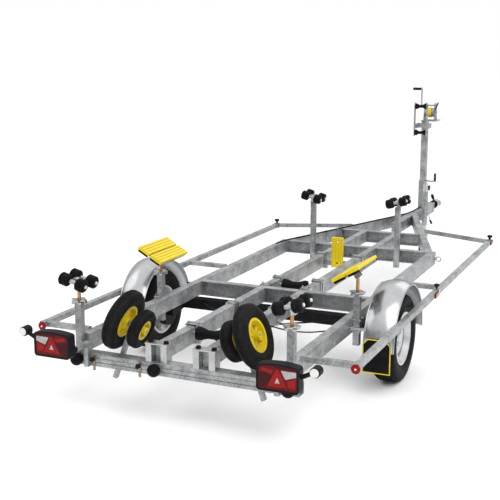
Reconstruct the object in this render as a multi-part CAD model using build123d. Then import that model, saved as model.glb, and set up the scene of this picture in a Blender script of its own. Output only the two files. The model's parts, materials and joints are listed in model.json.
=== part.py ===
from build123d import *
import math
import os

# Boat trailer: galvanised frame on one axle, adjustable hull supports, winch post and jockey wheel.
# Millimetres. Forward is +Y, right is +X, up is +Z, and the tyres stand on z = 0.

# Distances along the trailer, from which every station below follows.
AXLE_TO_REAR_BEAM = 1310.0
BEAM_TO_LAMP_FACE = 250.0
BEAM_TO_RAIL_END = 10.0
BEAM_TO_STAND = 17.0
AXLE_TO_KEEL_AFT = 920.0
AXLE_TO_BUNK = 240.0
AXLE_TO_TUBE = 150.0
AXLE_TO_MEMBER = 260.0
AXLE_TO_KEEL_FORE = 520.0
AXLE_TO_KEEL_STOP = 1500.0
AXLE_TO_FRONT_MEMBER = 2010.0
FRONT_BAY = 760.0
ARM_RUN = 1860.0
DRAWBAR_TAIL = 600.0
DRAWBAR_LEAD = 880.0
POST_BACK = 400.0
JOCKEY_BACK = 630.0
AXLE_TO_GUARD_REAR = 1240.0
AXLE_TO_GUARD_FRONT = 2740.0
AXLE_TO_OUTRIGGER = 800.0
AXLE_TO_AMBER = 560.0

# Frame sections.
RAIL_W = 60.0
RAIL_H = 110.0
RAIL_TOP = 485.0
RAIL_EDGE = 6.0
SIDE_RAIL_X = 686.0
CENTRE_RAIL_X = 160.0
MEMBER_W = 60.0
MEMBER_WALL = 6.0
BEAM_LENGTH = 1520.0
BEAM_DEPTH = 80.0
BEAM_H = 80.0
BEAM_WALL = 6.0
BEAM_SLOT = 30.0
BEAM_EDGE = 5.0
DRAWBAR_W = 80.0

# Fits.
SHAFT_FIT = 0.05
SLIDE_FIT = 0.3
SEAT_FIT = 0.3
SIDE_PLAY = 1.0

# Coupling: bellows, neck, ball cup and hand lever.
BALL_R = 25.0
CUP_R = 42.0
CUP_SKIRT = 26.0
BALL_Z = 430.0
NECK_L = 166.0
NECK_W = 58.0
NECK_TIP_W = 60.0
NECK_TIP_H = 44.0
NECK_H = 60.0
NECK_FLANGE = 12.0
BELLOWS_L = 150.0
BELLOWS_R = 48.0
BELLOWS_GROOVE = 10.0
BELLOWS_FOLDS = 6
NECK_ROD_R = 24.0
LEVER_W = 24.0
LEVER_T = 14.0
LEVER_L = 170.0
LEVER_RISE = 30.0
LEVER_GRIP = 70.0

# Road wheels and axle.
WHEEL_X = 925.0
TYRE_WALL_H = 126.0
TYRE_W = 170.0
TYRE_BEAD_R = 172.0
TYRE_BEAD_W = 128.0
TYRE_CROWN_W = 104.0
TYRE_SHOULDER = 22.0
RIM_W = 140.0
RIM_FLANGE_R = 182.0
RIM_WELL_R = 146.0
FLANGE_GAP = 2.0
RIM_SHEET = 7.0
DISC_OUT = 22.0
HUB_R = 62.0
HUB_CAP_R = 34.0
HUB_CAP_L = 16.0
VENT_R = 15.0
VENT_EDGE = 4.0
VENT_COUNT = 10
BOLT_R = 10.0
BOLT_CIRCLE_R = 48.0
BOLT_COUNT = 5
BOLT_OUT = 12.0
STUB_R = 20.0
AXLE_TUBE = 80.0
AXLE_OVERHANG = 40.0
SWING_T = 40.0
SWING_R = 42.0
BRAKE_R = 112.0
BRAKE_T = 46.0

# Fenders and mud flaps.
FENDER_GAP = 70.0
FENDER_CROWN = 30.0
FENDER_SHEET = 3.0
FENDER_W = 200.0
FENDER_BEAD_R = 5.0
STAY_R = 10.0
FLAP_OVER = 95.0
FLAP_W = 190.0
FLAP_H = 230.0
FLAP_T = 8.0
FLAP_CUT = 35.0
FLAP_BORDER = 9.0
FLAP_RECESS = 1.5

# Side guard tubes and their outriggers.
GUARD_X = 1055.0
GUARD_SIZE = 40.0
GUARD_Z = 480.0
GUARD_EDGE = 4.0
OUTRIGGER_SIZE = 36.0
OUTRIGGER_REAR_IN = 40.0
OUTRIGGER_FRONT_IN = 20.0
OUTRIGGER_SWEEP = 280.0

# Lamps and reflectors.
LAMP_X = 730.0
LAMP_W = 250.0
LAMP_H = 160.0
LAMP_D = 78.0
LAMP_Z = 485.0
LAMP_ARCH = 14.0
LAMP_CORNER = 20.0
LAMP_BEZEL = 12.0
LAMP_BACK_EDGE = 16.0
LENS_T = 10.0
LENS_SINK = 3.0
TRIANGLE_R = 62.0
TRIANGLE_RISE = 1.5
LAMP_ARM_IN = 95.0
LAMP_ARM_W = 30.0
PLUG_R = 24.0
PLUG_L = 34.0
MARKER_REACH = 85.0
MARKER_RISE = 55.0
MARKER_STALK_R = 13.0
MARKER_HEAD_R = 30.0
MARKER_HEAD_L = 68.0
MARKER_LENS_R = 25.0
MARKER_LENS_T = 8.0
REFLECTOR_R = 28.0
REFLECTOR_T = 10.0
AMBER_L = 90.0
AMBER_H = 38.0
AMBER_T = 12.0
AMBER_FRONT_IN = 60.0

# Hull supports: posts, screws, roller heads and bunks.
POST_SIZE = 45.0
POST_EDGE = 4.0
STAND_X = 705.0
STAND_PIVOT_Z = 825.0
FRONT_STAND_X = 390.0
FRONT_STAND_PIVOT_Z = 915.0
FRONT_STAND_DROP = 50.0
FRONT_STAND_FOOT = 40.0
BUNK_PIVOT_Z = 765.0
BUNK_POST_FOOT = 85.0
BUNK_NECK = 120.0
STAND_NECK = 130.0
HEAD_TILT = 14.0
BUNK_TILT = 30.0
SPINDLE_R = 11.0
SPINDLE_IN = 160.0
SPINDLE_SPARE = 60.0
EYE_R = 18.0
EYE_W = 30.0
PIN_R = 8.0
ROCKER_T = 6.0
ROCKER_H = 18.0
ROCKER_SLEEVE_R = 14.0
ROLLER_R = 40.0
ROLLER_L = 62.0
ROLLER_IN = 28.0
ROLLER_BASE = 58.0
ROLLER_EDGE = 8.0
ROLLER_GROOVE = 5.0
ROLLER_NUT_R = 11.0
ROLLER_NUT_T = 7.0
HAND_HUB_R = 24.0
HAND_LOBE_R = 17.0
HAND_LOBE_AT = 32.0
HAND_LOBES = 4
HAND_T = 14.0
BOARD_L = 400.0
BOARD_W = 95.0
BOARD_T = 22.0
BOARD_GAP = 12.0
BOARD_EDGE = 7.0
BOARD_GROOVES = 3
BOARD_GROOVE_W = 8.0
BOARD_GROOVE_D = 5.0
BOARD_GROOVE_PITCH = 24.0
TRAY_L = 360.0
TRAY_W = 190.0
TRAY_Z = 34.0
TRAY_T = 5.0
TRAY_LIP = 20.0
LUG_T = 6.0
LUG_W = 40.0
LUG_DROP = 14.0

# Slip wheels on leaning arms.
SLIP_X = 375.0
SLIP_Z = 565.0
SLIP_TILT = 20.0
SLIP_ARM_D = 38.0
SLIP_ARM_T = 26.0
SLIP_ARM_DOWN = 380.0
SLIP_ARM_UP = 24.0
SLIP_PIN_R = 10.0
SLIP_HUB_R = 25.0
SLIP_RIM_SHEET = 10.0
SLIP_FLANGE_H = 6.0
SLIP_FLANGE_T = 4.0
SLIP_DISC_T = 14.0
SLIP_SPOKES = 6
SLIP_SPOKE_W = 16.0

# Keel rollers, keel stop and clamps.
KEEL_ROLLER_Z = 452.0
KEEL_ROLLER_L = 190.0
KEEL_ROLLER_R = 44.0
KEEL_WAIST_R = 28.0
KEEL_RIM = 20.0
KEEL_ROD_R = 9.0
STOP_TUBE = 40.0
STOP_TUBE_Z = 420.0
STOP_W = 100.0
STOP_T = 26.0
STOP_BOTTOM = 390.0
STOP_TOP = 650.0
STOP_GROOVES = 4
STOP_HOLE_R = 9.0
STOP_HOLE_IN = 40.0
CLAMP_PLATE_T = 8.0
CLAMP_L = 70.0
CLAMP_ROD_R = 6.0
CLAMP_OVER = 14.0
CLAMP_UNDER = 18.0
YOKE_T = 40.0
YOKE_GAP = 2.0
YOKE_PLATE = 8.0
YOKE_LIP = 3.0
BUFFER_R = 40.0
BUFFER_SEAT = 12.0

# Winch post, bow stop and winch.
SLEEVE_SIZE = 80.0
SLEEVE_TOP = 790.0
SLEEVE_EDGE = 5.0
INNER_SIZE = 64.0
INNER_FOOT = 40.0
INNER_TOP = 1440.0
SHELF_T = 8.0
SHELF_LEFT = 40.0
SHELF_RIGHT = 125.0
SHELF_BACK = 40.0
SHELF_FRONT = 190.0
BOW_BACK = 200.0
BAR_X = 66.0
BAR_T = 8.0
BAR_W = 44.0
BAR_BOTTOM = 1290.0
BAR_TOP = 1650.0
TIE_BOTTOM = 1370.0
TIE_TOP = 1420.0
BOW_ROLLER_LOW = 1330.0
BOW_ROLLER_HIGH = 1610.0
BOW_ROLLER_R = 30.0
BOW_ROLLER_WAIST = 16.0
BOW_ROLLER_RIM = 20.0
WINCH_FORE = 95.0
GEAR_MODULE = 3.2
GEAR_TEETH = 36
PINION_TEETH = 12
PRESSURE_ANGLE = 20.0
ADDENDUM = 0.8
DEDENDUM = 1.1
BACKLASH = 0.35
GEAR_T = 10.0
WINCH_PLATE_T = 6.0
WINCH_PLATE_LEFT = -28.0
WINCH_PLATE_RIGHT = 88.0
WINCH_PLATE_W = 140.0
WINCH_HEAD_R = 30.0
DRUM_Z = 1530.0
DRUM_SHAFT_R = 10.0
DRUM_R = 40.0
DRUM_FLANGE_R = 52.0
DRUM_FLANGE_T = 4.0
CRANK_SHAFT_R = 9.0
CRANK_X = -71.0
CRANK_T = 10.0
CRANK_W = 28.0
CRANK_THROW = 176.0
GRIP_R = 14.0
GRIP_L = 100.0

# Jockey wheel.
JOCKEY_X = 88.0
JOCKEY_R = 100.0
JOCKEY_W = 60.0
JOCKEY_RIM_R = 62.0
JOCKEY_TOP = 780.0
JOCKEY_SLEEVE_LOW = 330.0
JOCKEY_SLEEVE_TOP = 700.0
JOCKEY_OUT_R = 30.0
JOCKEY_IN_R = 24.0
JOCKEY_PIN_R = 10.0
JOCKEY_TRAIL = 35.0
JOCKEY_AXLE_R = 8.0
FORK_Z = 225.0
FORK_T = 6.0
FORK_TOP_T = 10.0
FORK_PLAY = 6.0
FORK_W = 40.0
JOCKEY_CRANK_R = 9.0
JOCKEY_CRANK_L = 98.0
JOCKEY_CRANK_T = 12.0
JOCKEY_GRIP_L = 80.0

# Sizes that follow from those above.
TYRE_R = TYRE_BEAD_R + TYRE_WALL_H
FENDER_EDGE_R = TYRE_R + FENDER_GAP
RAIL_BOTTOM = RAIL_TOP - RAIL_H
RAIL_MID = (RAIL_TOP + RAIL_BOTTOM) / 2.0
RAIL_OUT = SIDE_RAIL_X + RAIL_W / 2.0
SIDE_IN = SIDE_RAIL_X - RAIL_W / 2.0
CENTRE_IN = CENTRE_RAIL_X - RAIL_W / 2.0
CENTRE_OUT = CENTRE_RAIL_X + RAIL_W / 2.0
BEAM_BOTTOM = RAIL_BOTTOM - BEAM_H
SLOT_Z = RAIL_BOTTOM - BEAM_H / 2.0
AXLE_TUBE_Z = RAIL_BOTTOM - AXLE_TUBE / 2.0
BUNK_X = RAIL_OUT + POST_SIZE / 2.0
CRANK_Z = DRUM_Z + GEAR_MODULE * (GEAR_TEETH + PINION_TEETH) / 2.0

# Stations: the wheel axle is placed so that the middle of the trailer's length is at y = 0.
REAR_REACH = AXLE_TO_REAR_BEAM + BEAM_DEPTH / 2.0 + BEAM_TO_LAMP_FACE
DRAWBAR_REACH = AXLE_TO_FRONT_MEMBER + MEMBER_W / 2.0 + ARM_RUN + DRAWBAR_LEAD
FRONT_REACH = DRAWBAR_REACH + NECK_FLANGE + BELLOWS_L + NECK_L + CUP_R
AXLE_Y = (REAR_REACH - FRONT_REACH) / 2.0
LAMP_FACE_Y = AXLE_Y - REAR_REACH
REAR_BEAM_Y = AXLE_Y - AXLE_TO_REAR_BEAM
BEAM_REAR = REAR_BEAM_Y - BEAM_DEPTH / 2.0
BEAM_FRONT = REAR_BEAM_Y + BEAM_DEPTH / 2.0
RAIL_REAR_Y = REAR_BEAM_Y + BEAM_TO_RAIL_END
STAND_Y = REAR_BEAM_Y - BEAM_TO_STAND
SLIP_Y = BEAM_FRONT + SLIP_ARM_D / 2.0
KEEL_AFT_Y = AXLE_Y - AXLE_TO_KEEL_AFT
BUNK_Y = AXLE_Y - AXLE_TO_BUNK
AXLE_TUBE_Y = AXLE_Y + AXLE_TO_TUBE
AXLE_MEMBER_Y = AXLE_Y + AXLE_TO_MEMBER
KEEL_FORE_Y = AXLE_Y + AXLE_TO_KEEL_FORE
STOP_Y = AXLE_Y + AXLE_TO_KEEL_STOP
FRONT_MEMBER_Y = AXLE_Y + AXLE_TO_FRONT_MEMBER
FRONT_STAND_Y = FRONT_MEMBER_Y - (MEMBER_W + POST_SIZE) / 2.0
SIDE_FRONT_Y = FRONT_MEMBER_Y + MEMBER_W / 2.0
CENTRE_FRONT_Y = FRONT_MEMBER_Y + FRONT_BAY - MEMBER_W / 2.0
ARM_APEX_Y = SIDE_FRONT_Y + ARM_RUN
DRAWBAR_REAR_Y = ARM_APEX_Y - DRAWBAR_TAIL
DRAWBAR_FRONT_Y = ARM_APEX_Y + DRAWBAR_LEAD
POST_Y = DRAWBAR_FRONT_Y - POST_BACK
JOCKEY_Y = DRAWBAR_FRONT_Y - JOCKEY_BACK
BOW_Y = POST_Y - BOW_BACK
WINCH_Y = POST_Y + WINCH_FORE
NOSE_Y = AXLE_Y + FRONT_REACH
SOCKET_Y = NOSE_Y - CUP_R
GUARD_REAR_Y = AXLE_Y - AXLE_TO_GUARD_REAR
GUARD_FRONT_Y = AXLE_Y + AXLE_TO_GUARD_FRONT

SIDES = {"left": -1.0, "right": 1.0}
os.makedirs("parts", exist_ok=True)
nodes = {}


def block(x0, x1, y0, y1, z0, z1):
    """Box between the given faces."""
    size = Box(abs(x1 - x0), abs(y1 - y0), abs(z1 - z0))
    return Pos((x0 + x1) / 2.0, (y0 + y1) / 2.0, (z0 + z1) / 2.0) * size


def tube_bar(x0, x1, y0, y1, z0, z1, radius, axis):
    """Straight tube's outer form: the four edges along one axis are rounded."""
    return fillet(block(x0, x1, y0, y1, z0, z1).edges().filter_by(axis), radius)


def square_post(x, y, size, z0, z1):
    """Upright square tube."""
    half = size / 2.0
    return tube_bar(x - half, x + half, y - half, y + half, z0, z1, POST_EDGE, Axis.Z)


def rod_x(radius, x0, x1, y=0.0, z=0.0):
    """Round bar along X."""
    return Pos((x0 + x1) / 2.0, y, z) * Rot(0, 90, 0) * Cylinder(radius, abs(x1 - x0))


def rod_y(radius, y0, y1, x=0.0, z=0.0):
    """Round bar along Y."""
    return Pos(x, (y0 + y1) / 2.0, z) * Rot(90, 0, 0) * Cylinder(radius, abs(y1 - y0))


def rod_z(radius, z0, z1, x=0.0, y=0.0):
    """Round bar along Z."""
    return Pos(x, y, (z0 + z1) / 2.0) * Cylinder(radius, abs(z1 - z0))


def prism(plane, points, depth):
    """Closed outline on a plane, drawn out along the plane's normal."""
    with BuildPart() as part:
        with BuildSketch(plane):
            with BuildLine():
                Polyline(*points, close=True)
            make_face()
        extrude(amount=depth)
    return part.part


def link_x(length, width, x0, x1):
    """Flat bar with round ends, lying along Y and as thick as x0 to x1."""
    with BuildPart() as part:
        with BuildSketch(Plane.YZ.offset(min(x0, x1))):
            SlotCenterToCenter(length, width)
        extrude(amount=abs(x1 - x0))
    return part.part


def turned(points):
    """Solid of revolution about X from a closed profile of (x, radius) points."""
    with BuildPart() as part:
        with BuildSketch(Plane.XY):
            with BuildLine():
                Polyline(*points, close=True)
            make_face()
        revolve(axis=Axis.X)
    return part.part


def ring_of(solid, count, start=0.0):
    """Copies of a solid spaced evenly round the X axis."""
    return [Rot(start + 360.0 * i / count, 0, 0) * solid for i in range(count)]


def put(name, *solids):
    """Keeps the solids of one node."""
    nodes[name] = Compound(children=list(solids))


# Rails, side and centre.


def rail(x, front_y):
    """Lengthwise box rail."""
    half = RAIL_W / 2.0
    return tube_bar(x - half, x + half, RAIL_REAR_Y, front_y, RAIL_BOTTOM, RAIL_TOP, RAIL_EDGE, Axis.Y)


put("side_rails", *[rail(s * SIDE_RAIL_X, SIDE_FRONT_Y) for s in SIDES.values()])
put("centre_rails", *[rail(s * CENTRE_RAIL_X, CENTRE_FRONT_Y) for s in SIDES.values()])

# Cross members between the rails: channels that are open to the rear.


def channel(x0, x1, front_y):
    """Channel section across the trailer, its web in front."""
    rear_y = front_y - MEMBER_W
    body = block(x0, x1, rear_y, front_y, RAIL_BOTTOM, RAIL_TOP)
    return body - block(x0, x1, rear_y, front_y - MEMBER_WALL,
                        RAIL_BOTTOM + MEMBER_WALL, RAIL_TOP - MEMBER_WALL)


arm_start = Vector(SIDE_IN, SIDE_FRONT_Y)
arm_end = Vector(DRAWBAR_W / 2.0, ARM_APEX_Y)
arm_dir = (arm_end - arm_start).normalized()
ARM_HALF = RAIL_W / 2.0


def arm_x(y, offset):
    """X of the right arm's edge at a station, the edge standing off the arm's middle line."""
    return arm_start.X + offset / arm_dir.Y + (y - arm_start.Y) * arm_dir.X / arm_dir.Y


def arm_y(x, offset):
    """Station at which the right arm's edge has the given X."""
    return arm_start.Y + (x - arm_start.X - offset / arm_dir.Y) * arm_dir.Y / arm_dir.X


BAYS = [(-SIDE_IN, -CENTRE_OUT), (-CENTRE_IN, CENTRE_IN), (CENTRE_OUT, SIDE_IN)]
members = []
for member_y in (AXLE_MEMBER_Y, FRONT_MEMBER_Y):
    members += [channel(x0, x1, member_y + MEMBER_W / 2.0) for x0, x1 in BAYS]
drawbar_member_front = CENTRE_FRONT_Y + MEMBER_W
drawbar_member_half = arm_x(drawbar_member_front, -ARM_HALF)
members.append(channel(-drawbar_member_half, drawbar_member_half, drawbar_member_front))

# Rear beam that carries the rails: a box section with a slot along its rear face.
beam_half = BEAM_LENGTH / 2.0
beam = tube_bar(-beam_half, beam_half, BEAM_REAR, BEAM_FRONT, BEAM_BOTTOM, RAIL_BOTTOM, BEAM_EDGE, Axis.X)
beam -= block(-beam_half, beam_half, BEAM_REAR + BEAM_WALL, BEAM_FRONT - BEAM_WALL,
              BEAM_BOTTOM + BEAM_WALL, RAIL_BOTTOM - BEAM_WALL)
beam -= block(-beam_half, beam_half, BEAM_REAR, BEAM_REAR + BEAM_WALL,
              SLOT_Z - BEAM_SLOT / 2.0, SLOT_Z + BEAM_SLOT / 2.0)
put("cross_members", *members, beam)

# Drawbar: converging arms, and a straight tube with the winch post's sleeve welded on top.
half_bar = DRAWBAR_W / 2.0
ARM_CORNERS = [
    (arm_x(SIDE_FRONT_Y, ARM_HALF), SIDE_FRONT_Y),
    (arm_x(SIDE_FRONT_Y, -ARM_HALF), SIDE_FRONT_Y),
    (half_bar, arm_y(half_bar, -ARM_HALF)),
    (half_bar, arm_y(half_bar, ARM_HALF)),
]
put("drawbar_arms", *[prism(Plane.XY.offset(RAIL_BOTTOM), [(s * x, y) for x, y in ARM_CORNERS], RAIL_H)
                      for s in SIDES.values()])
bar = tube_bar(-half_bar, half_bar, DRAWBAR_REAR_Y, DRAWBAR_FRONT_Y, RAIL_BOTTOM, RAIL_TOP, RAIL_EDGE, Axis.Y)
half_sleeve = SLEEVE_SIZE / 2.0
half_bore = INNER_SIZE / 2.0 + SLIDE_FIT
sleeve = tube_bar(-half_sleeve, half_sleeve, POST_Y - half_sleeve, POST_Y + half_sleeve,
                  RAIL_TOP - RAIL_EDGE, SLEEVE_TOP, SLEEVE_EDGE, Axis.Z)
sleeve -= block(-half_bore, half_bore, POST_Y - half_bore, POST_Y + half_bore, RAIL_TOP, SLEEVE_TOP)
put("drawbar", bar + sleeve)

# Coupling: flange on the drawbar, sliding rod under a bellows, neck, ball cup and hand lever.
neck_rear = DRAWBAR_FRONT_Y + NECK_FLANGE + BELLOWS_L
neck_z = BALL_Z + NECK_H / 6.0
coupling = block(-half_bar, half_bar, DRAWBAR_FRONT_Y, DRAWBAR_FRONT_Y + NECK_FLANGE, RAIL_BOTTOM, RAIL_TOP)
coupling += rod_y(NECK_ROD_R, DRAWBAR_FRONT_Y, neck_rear + NECK_FLANGE, 0, neck_z)
with BuildPart() as neck:
    with BuildSketch(Plane.XZ.offset(-neck_rear)):
        with Locations((0, neck_z)):
            RectangleRounded(NECK_W, NECK_H, RAIL_EDGE)
    with BuildSketch(Plane.XZ.offset(-SOCKET_Y)):
        with Locations((0, BALL_Z)):
            RectangleRounded(NECK_TIP_W, NECK_TIP_H, RAIL_EDGE)
    loft()
dome = Pos(0, SOCKET_Y, BALL_Z) * Sphere(CUP_R)
dome -= block(-CUP_R, CUP_R, SOCKET_Y - CUP_R, SOCKET_Y + CUP_R, BALL_Z - CUP_R, BALL_Z)
coupling += neck.part + dome + rod_z(CUP_R, BALL_Z - CUP_SKIRT, BALL_Z, 0, SOCKET_Y)
coupling -= rod_z(BALL_R + SLIDE_FIT, BALL_Z - NECK_H, BALL_Z, 0, SOCKET_Y)
coupling -= Pos(0, SOCKET_Y, BALL_Z) * Sphere(BALL_R + SLIDE_FIT)
lever_z = neck_z + NECK_H / 2.0
lever_front = SOCKET_Y - CUP_R
LEVER_SIDE = [
    (lever_front, lever_z - RAIL_EDGE), (lever_front, lever_z + LEVER_T),
    (lever_front - LEVER_L, lever_z + LEVER_RISE + LEVER_T),
    (lever_front - LEVER_L - LEVER_GRIP, lever_z + 3.0 * LEVER_RISE + LEVER_T),
    (lever_front - LEVER_L - LEVER_GRIP, lever_z + 3.0 * LEVER_RISE),
    (lever_front - LEVER_L, lever_z + LEVER_RISE), (lever_front - LEVER_GRIP, lever_z - RAIL_EDGE),
]
coupling += prism(Plane.YZ.offset(-LEVER_W / 2.0), LEVER_SIDE, LEVER_W)
put("coupling_head", coupling)

# Axle: square tube under the rails, pads, swing arms, brake plates and stub shafts.
tube_end = RAIL_OUT + AXLE_OVERHANG
half_tube = AXLE_TUBE / 2.0
disc_x = WHEEL_X + DISC_OUT
axle = tube_bar(-tube_end, tube_end, AXLE_TUBE_Y - half_tube, AXLE_TUBE_Y + half_tube,
                AXLE_TUBE_Z - half_tube, AXLE_TUBE_Z + half_tube, RAIL_EDGE, Axis.X)
swing_y = (AXLE_Y + AXLE_TUBE_Y) / 2.0
swing_z = (TYRE_R + AXLE_TUBE_Z) / 2.0
swing_len = math.hypot(AXLE_TUBE_Y - AXLE_Y, AXLE_TUBE_Z - TYRE_R)
swing_lean = math.degrees(math.atan2(AXLE_TUBE_Z - TYRE_R, AXLE_TUBE_Y - AXLE_Y))
for s in SIDES.values():
    x0 = s * tube_end
    swing = link_x(swing_len, 2.0 * SWING_R, min(x0, x0 + s * SWING_T), max(x0, x0 + s * SWING_T))
    axle += Pos(0, swing_y, swing_z) * Rot(swing_lean, 0, 0) * swing
    axle += rod_x(STUB_R, x0, s * (disc_x + RIM_SHEET + HUB_CAP_L / 2.0), AXLE_Y, TYRE_R)
    brake_in = s * (tube_end + SWING_T)
    axle += rod_x(BRAKE_R, brake_in, brake_in + s * BRAKE_T, AXLE_Y, TYRE_R)
put("axle_beam", axle)

# Road wheels: tyre with bulged walls, and a pressed rim with vents, bolts and a hub cap.


def tyre(bead_r, bead_w, bead_h, outer_r, width, crown_w, shoulder):
    """Tyre turned about X: upright beads, bulged walls, round shoulders and a flat crown."""
    half = width / 2.0
    wall_r = (bead_r + outer_r) / 2.0
    bead_top = bead_r + bead_h
    edge = Vector((half + crown_w / 2.0) / 2.0, outer_r - shoulder / 3.0)
    with BuildPart() as part:
        with BuildSketch(Plane.XY):
            with BuildLine():
                Line((-bead_w / 2.0, bead_r), (bead_w / 2.0, bead_r))
                for t in SIDES.values():
                    Line((t * bead_w / 2.0, bead_r), (t * bead_w / 2.0, bead_top))
                    ThreePointArc((t * bead_w / 2.0, bead_top), (t * half, wall_r),
                                  (t * (half - shoulder / 4.0), outer_r - shoulder))
                    ThreePointArc((t * (half - shoulder / 4.0), outer_r - shoulder), (t * edge.X, edge.Y),
                                  (t * crown_w / 2.0, outer_r))
                Line((-crown_w / 2.0, outer_r), (crown_w / 2.0, outer_r))
            make_face()
        revolve(axis=Axis.X)
    return part.part


def road_rim():
    """Rim: flanges, drop centre and dished disc, bored for the stub shaft."""
    half = RIM_W / 2.0
    seat_r = TYRE_BEAD_R - SEAT_FIT
    bore = STUB_R + SHAFT_FIT
    well_in = RIM_WELL_R - RIM_SHEET
    body = turned([
        (-half, RIM_FLANGE_R), (-half, seat_r - RIM_SHEET), (-half / 2.0, well_in), (half / 2.0, well_in),
        (half, seat_r - RIM_SHEET), (half, RIM_FLANGE_R), (TYRE_BEAD_W / 2.0, RIM_FLANGE_R),
        (TYRE_BEAD_W / 2.0, seat_r), (-TYRE_BEAD_W / 2.0, seat_r), (-TYRE_BEAD_W / 2.0, RIM_FLANGE_R)])
    crown_x = DISC_OUT + RIM_SHEET
    disc_out_r = well_in + RIM_SHEET / 2.0
    ridge_r = (HUB_R + disc_out_r) / 2.0
    body += turned([
        (DISC_OUT, bore), (DISC_OUT, HUB_R), (crown_x, ridge_r), (0.0, disc_out_r), (RIM_SHEET, disc_out_r),
        (crown_x + RIM_SHEET, ridge_r), (crown_x, HUB_R), (crown_x, bore)])
    cap = rod_x(HUB_CAP_R, crown_x, crown_x + HUB_CAP_L)
    cap = fillet(cap.faces().sort_by(Axis.X)[-1].edges(), HUB_CAP_L / 2.0)
    body += cap - rod_x(bore, DISC_OUT, crown_x + HUB_CAP_L - RIM_SHEET)
    vent = Pos(0, ridge_r + VENT_EDGE + VENT_R, 0) * rod_x(VENT_R, 0.0, crown_x + 2.0 * RIM_SHEET)
    for hole in ring_of(vent, VENT_COUNT, 180.0 / VENT_COUNT):
        body -= hole
    bolt = Pos(0, BOLT_CIRCLE_R, 0) * rod_x(BOLT_R, DISC_OUT - RIM_SHEET, crown_x + BOLT_OUT)
    for head in ring_of(bolt, BOLT_COUNT, 180.0 / BOLT_COUNT):
        body += head
    return body


for name, s in SIDES.items():
    place = Pos(s * WHEEL_X, AXLE_Y, TYRE_R) * Rot(0, 90.0 - s * 90.0, 0)
    bead_h = RIM_FLANGE_R - TYRE_BEAD_R + FLANGE_GAP
    put(f"wheel_tyre_{name}", place * tyre(TYRE_BEAD_R, TYRE_BEAD_W - 2.0 * SEAT_FIT, bead_h, TYRE_R, TYRE_W,
                                           TYRE_CROWN_W, TYRE_SHOULDER))
    put(f"wheel_rim_{name}", place * road_rim())

# Fenders: a crowned half-round arch with rolled edges, on two stays; mud flaps behind them.


def fender_arch():
    """Arch over the wheel, turned half a turn about X from one rolled profile."""
    half = FENDER_W / 2.0
    crown_r = FENDER_EDGE_R + FENDER_CROWN
    with BuildPart() as part:
        with BuildSketch(Plane.XY):
            with BuildLine():
                ThreePointArc((-half, FENDER_EDGE_R), (0, crown_r), (half, FENDER_EDGE_R))
                Line((half, FENDER_EDGE_R), (half, FENDER_EDGE_R - FENDER_SHEET))
                ThreePointArc((half, FENDER_EDGE_R - FENDER_SHEET), (0, crown_r - FENDER_SHEET),
                              (-half, FENDER_EDGE_R - FENDER_SHEET))
                Line((-half, FENDER_EDGE_R - FENDER_SHEET), (-half, FENDER_EDGE_R))
            make_face()
            with Locations((-half, FENDER_EDGE_R), (half, FENDER_EDGE_R)):
                Circle(FENDER_BEAD_R)
        revolve(axis=Axis.X, revolution_arc=180.0)
    return part.part


fenders = []
flaps = []
stay_y = math.sqrt(FENDER_EDGE_R ** 2 - (RAIL_MID - TYRE_R) ** 2)
flap_top = TYRE_R + FLAP_OVER
flap_front = AXLE_Y - FENDER_EDGE_R - FENDER_CROWN
for s in SIDES.values():
    skin = Pos(s * WHEEL_X, AXLE_Y, TYRE_R) * fender_arch()
    stay_end = s * (WHEEL_X - FENDER_W / 2.0 + STAY_R)
    for t in SIDES.values():
        skin += rod_x(STAY_R, s * RAIL_OUT, stay_end, AXLE_Y + t * stay_y, RAIL_MID)
    fenders.append(skin)
    half_w = FLAP_W / 2.0
    outline = []
    for inset in (0.0, FLAP_BORDER):
        top = flap_top - inset
        side = half_w - inset
        outline.append([
            (-side, top - FLAP_H + 2.0 * inset), (side, top - FLAP_H + 2.0 * inset), (side, top - FLAP_CUT),
            (side - FLAP_CUT, top), (FLAP_CUT - side, top), (-side, top - FLAP_CUT)])
    flap = prism(Plane.XZ.offset(-flap_front), outline[0], FLAP_T)
    flap -= prism(Plane.XZ.offset(-flap_front + FLAP_T - FLAP_RECESS), outline[1], FLAP_RECESS)
    flaps.append(Pos(s * WHEEL_X, 0, 0) * flap)
put("fenders", *fenders)
put("mud_flaps", *flaps)

# Side guard tubes and the outriggers that hold them.
half_guard = GUARD_SIZE / 2.0
guard_in = GUARD_X - half_guard
outrigger_z = GUARD_Z + half_guard - OUTRIGGER_SIZE / 2.0
guards = []
outriggers = []
half_out = OUTRIGGER_SIZE / 2.0
for s in SIDES.values():
    guards.append(tube_bar(s * GUARD_X - half_guard, s * GUARD_X + half_guard, GUARD_REAR_Y, GUARD_FRONT_Y,
                           GUARD_Z - half_guard, GUARD_Z + half_guard, GUARD_EDGE, Axis.Y))
    for out_y in (GUARD_REAR_Y + OUTRIGGER_REAR_IN, AXLE_Y + AXLE_TO_OUTRIGGER):
        outriggers.append(tube_bar(s * RAIL_OUT, s * guard_in, out_y - half_out, out_y + half_out,
                                   outrigger_z - half_out - GUARD_EDGE, outrigger_z + half_out - GUARD_EDGE,
                                   GUARD_EDGE, Axis.X))
    tip_y = GUARD_FRONT_Y - OUTRIGGER_FRONT_IN
    root_y = tip_y + OUTRIGGER_SWEEP
    swept = [(arm_x(root_y - half_out, ARM_HALF), root_y - half_out),
             (arm_x(root_y + half_out, ARM_HALF), root_y + half_out),
             (guard_in, tip_y + half_out), (guard_in, tip_y - half_out)]
    outriggers.append(prism(Plane.XY.offset(outrigger_z - half_out - GUARD_EDGE),
                            [(s * x, y) for x, y in swept], OUTRIGGER_SIZE))
put("side_guards", *guards)
put("outriggers", *outriggers)

# Rear lamps: arched housings on arms from the beam, with plugs and rubber marker arms.


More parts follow.
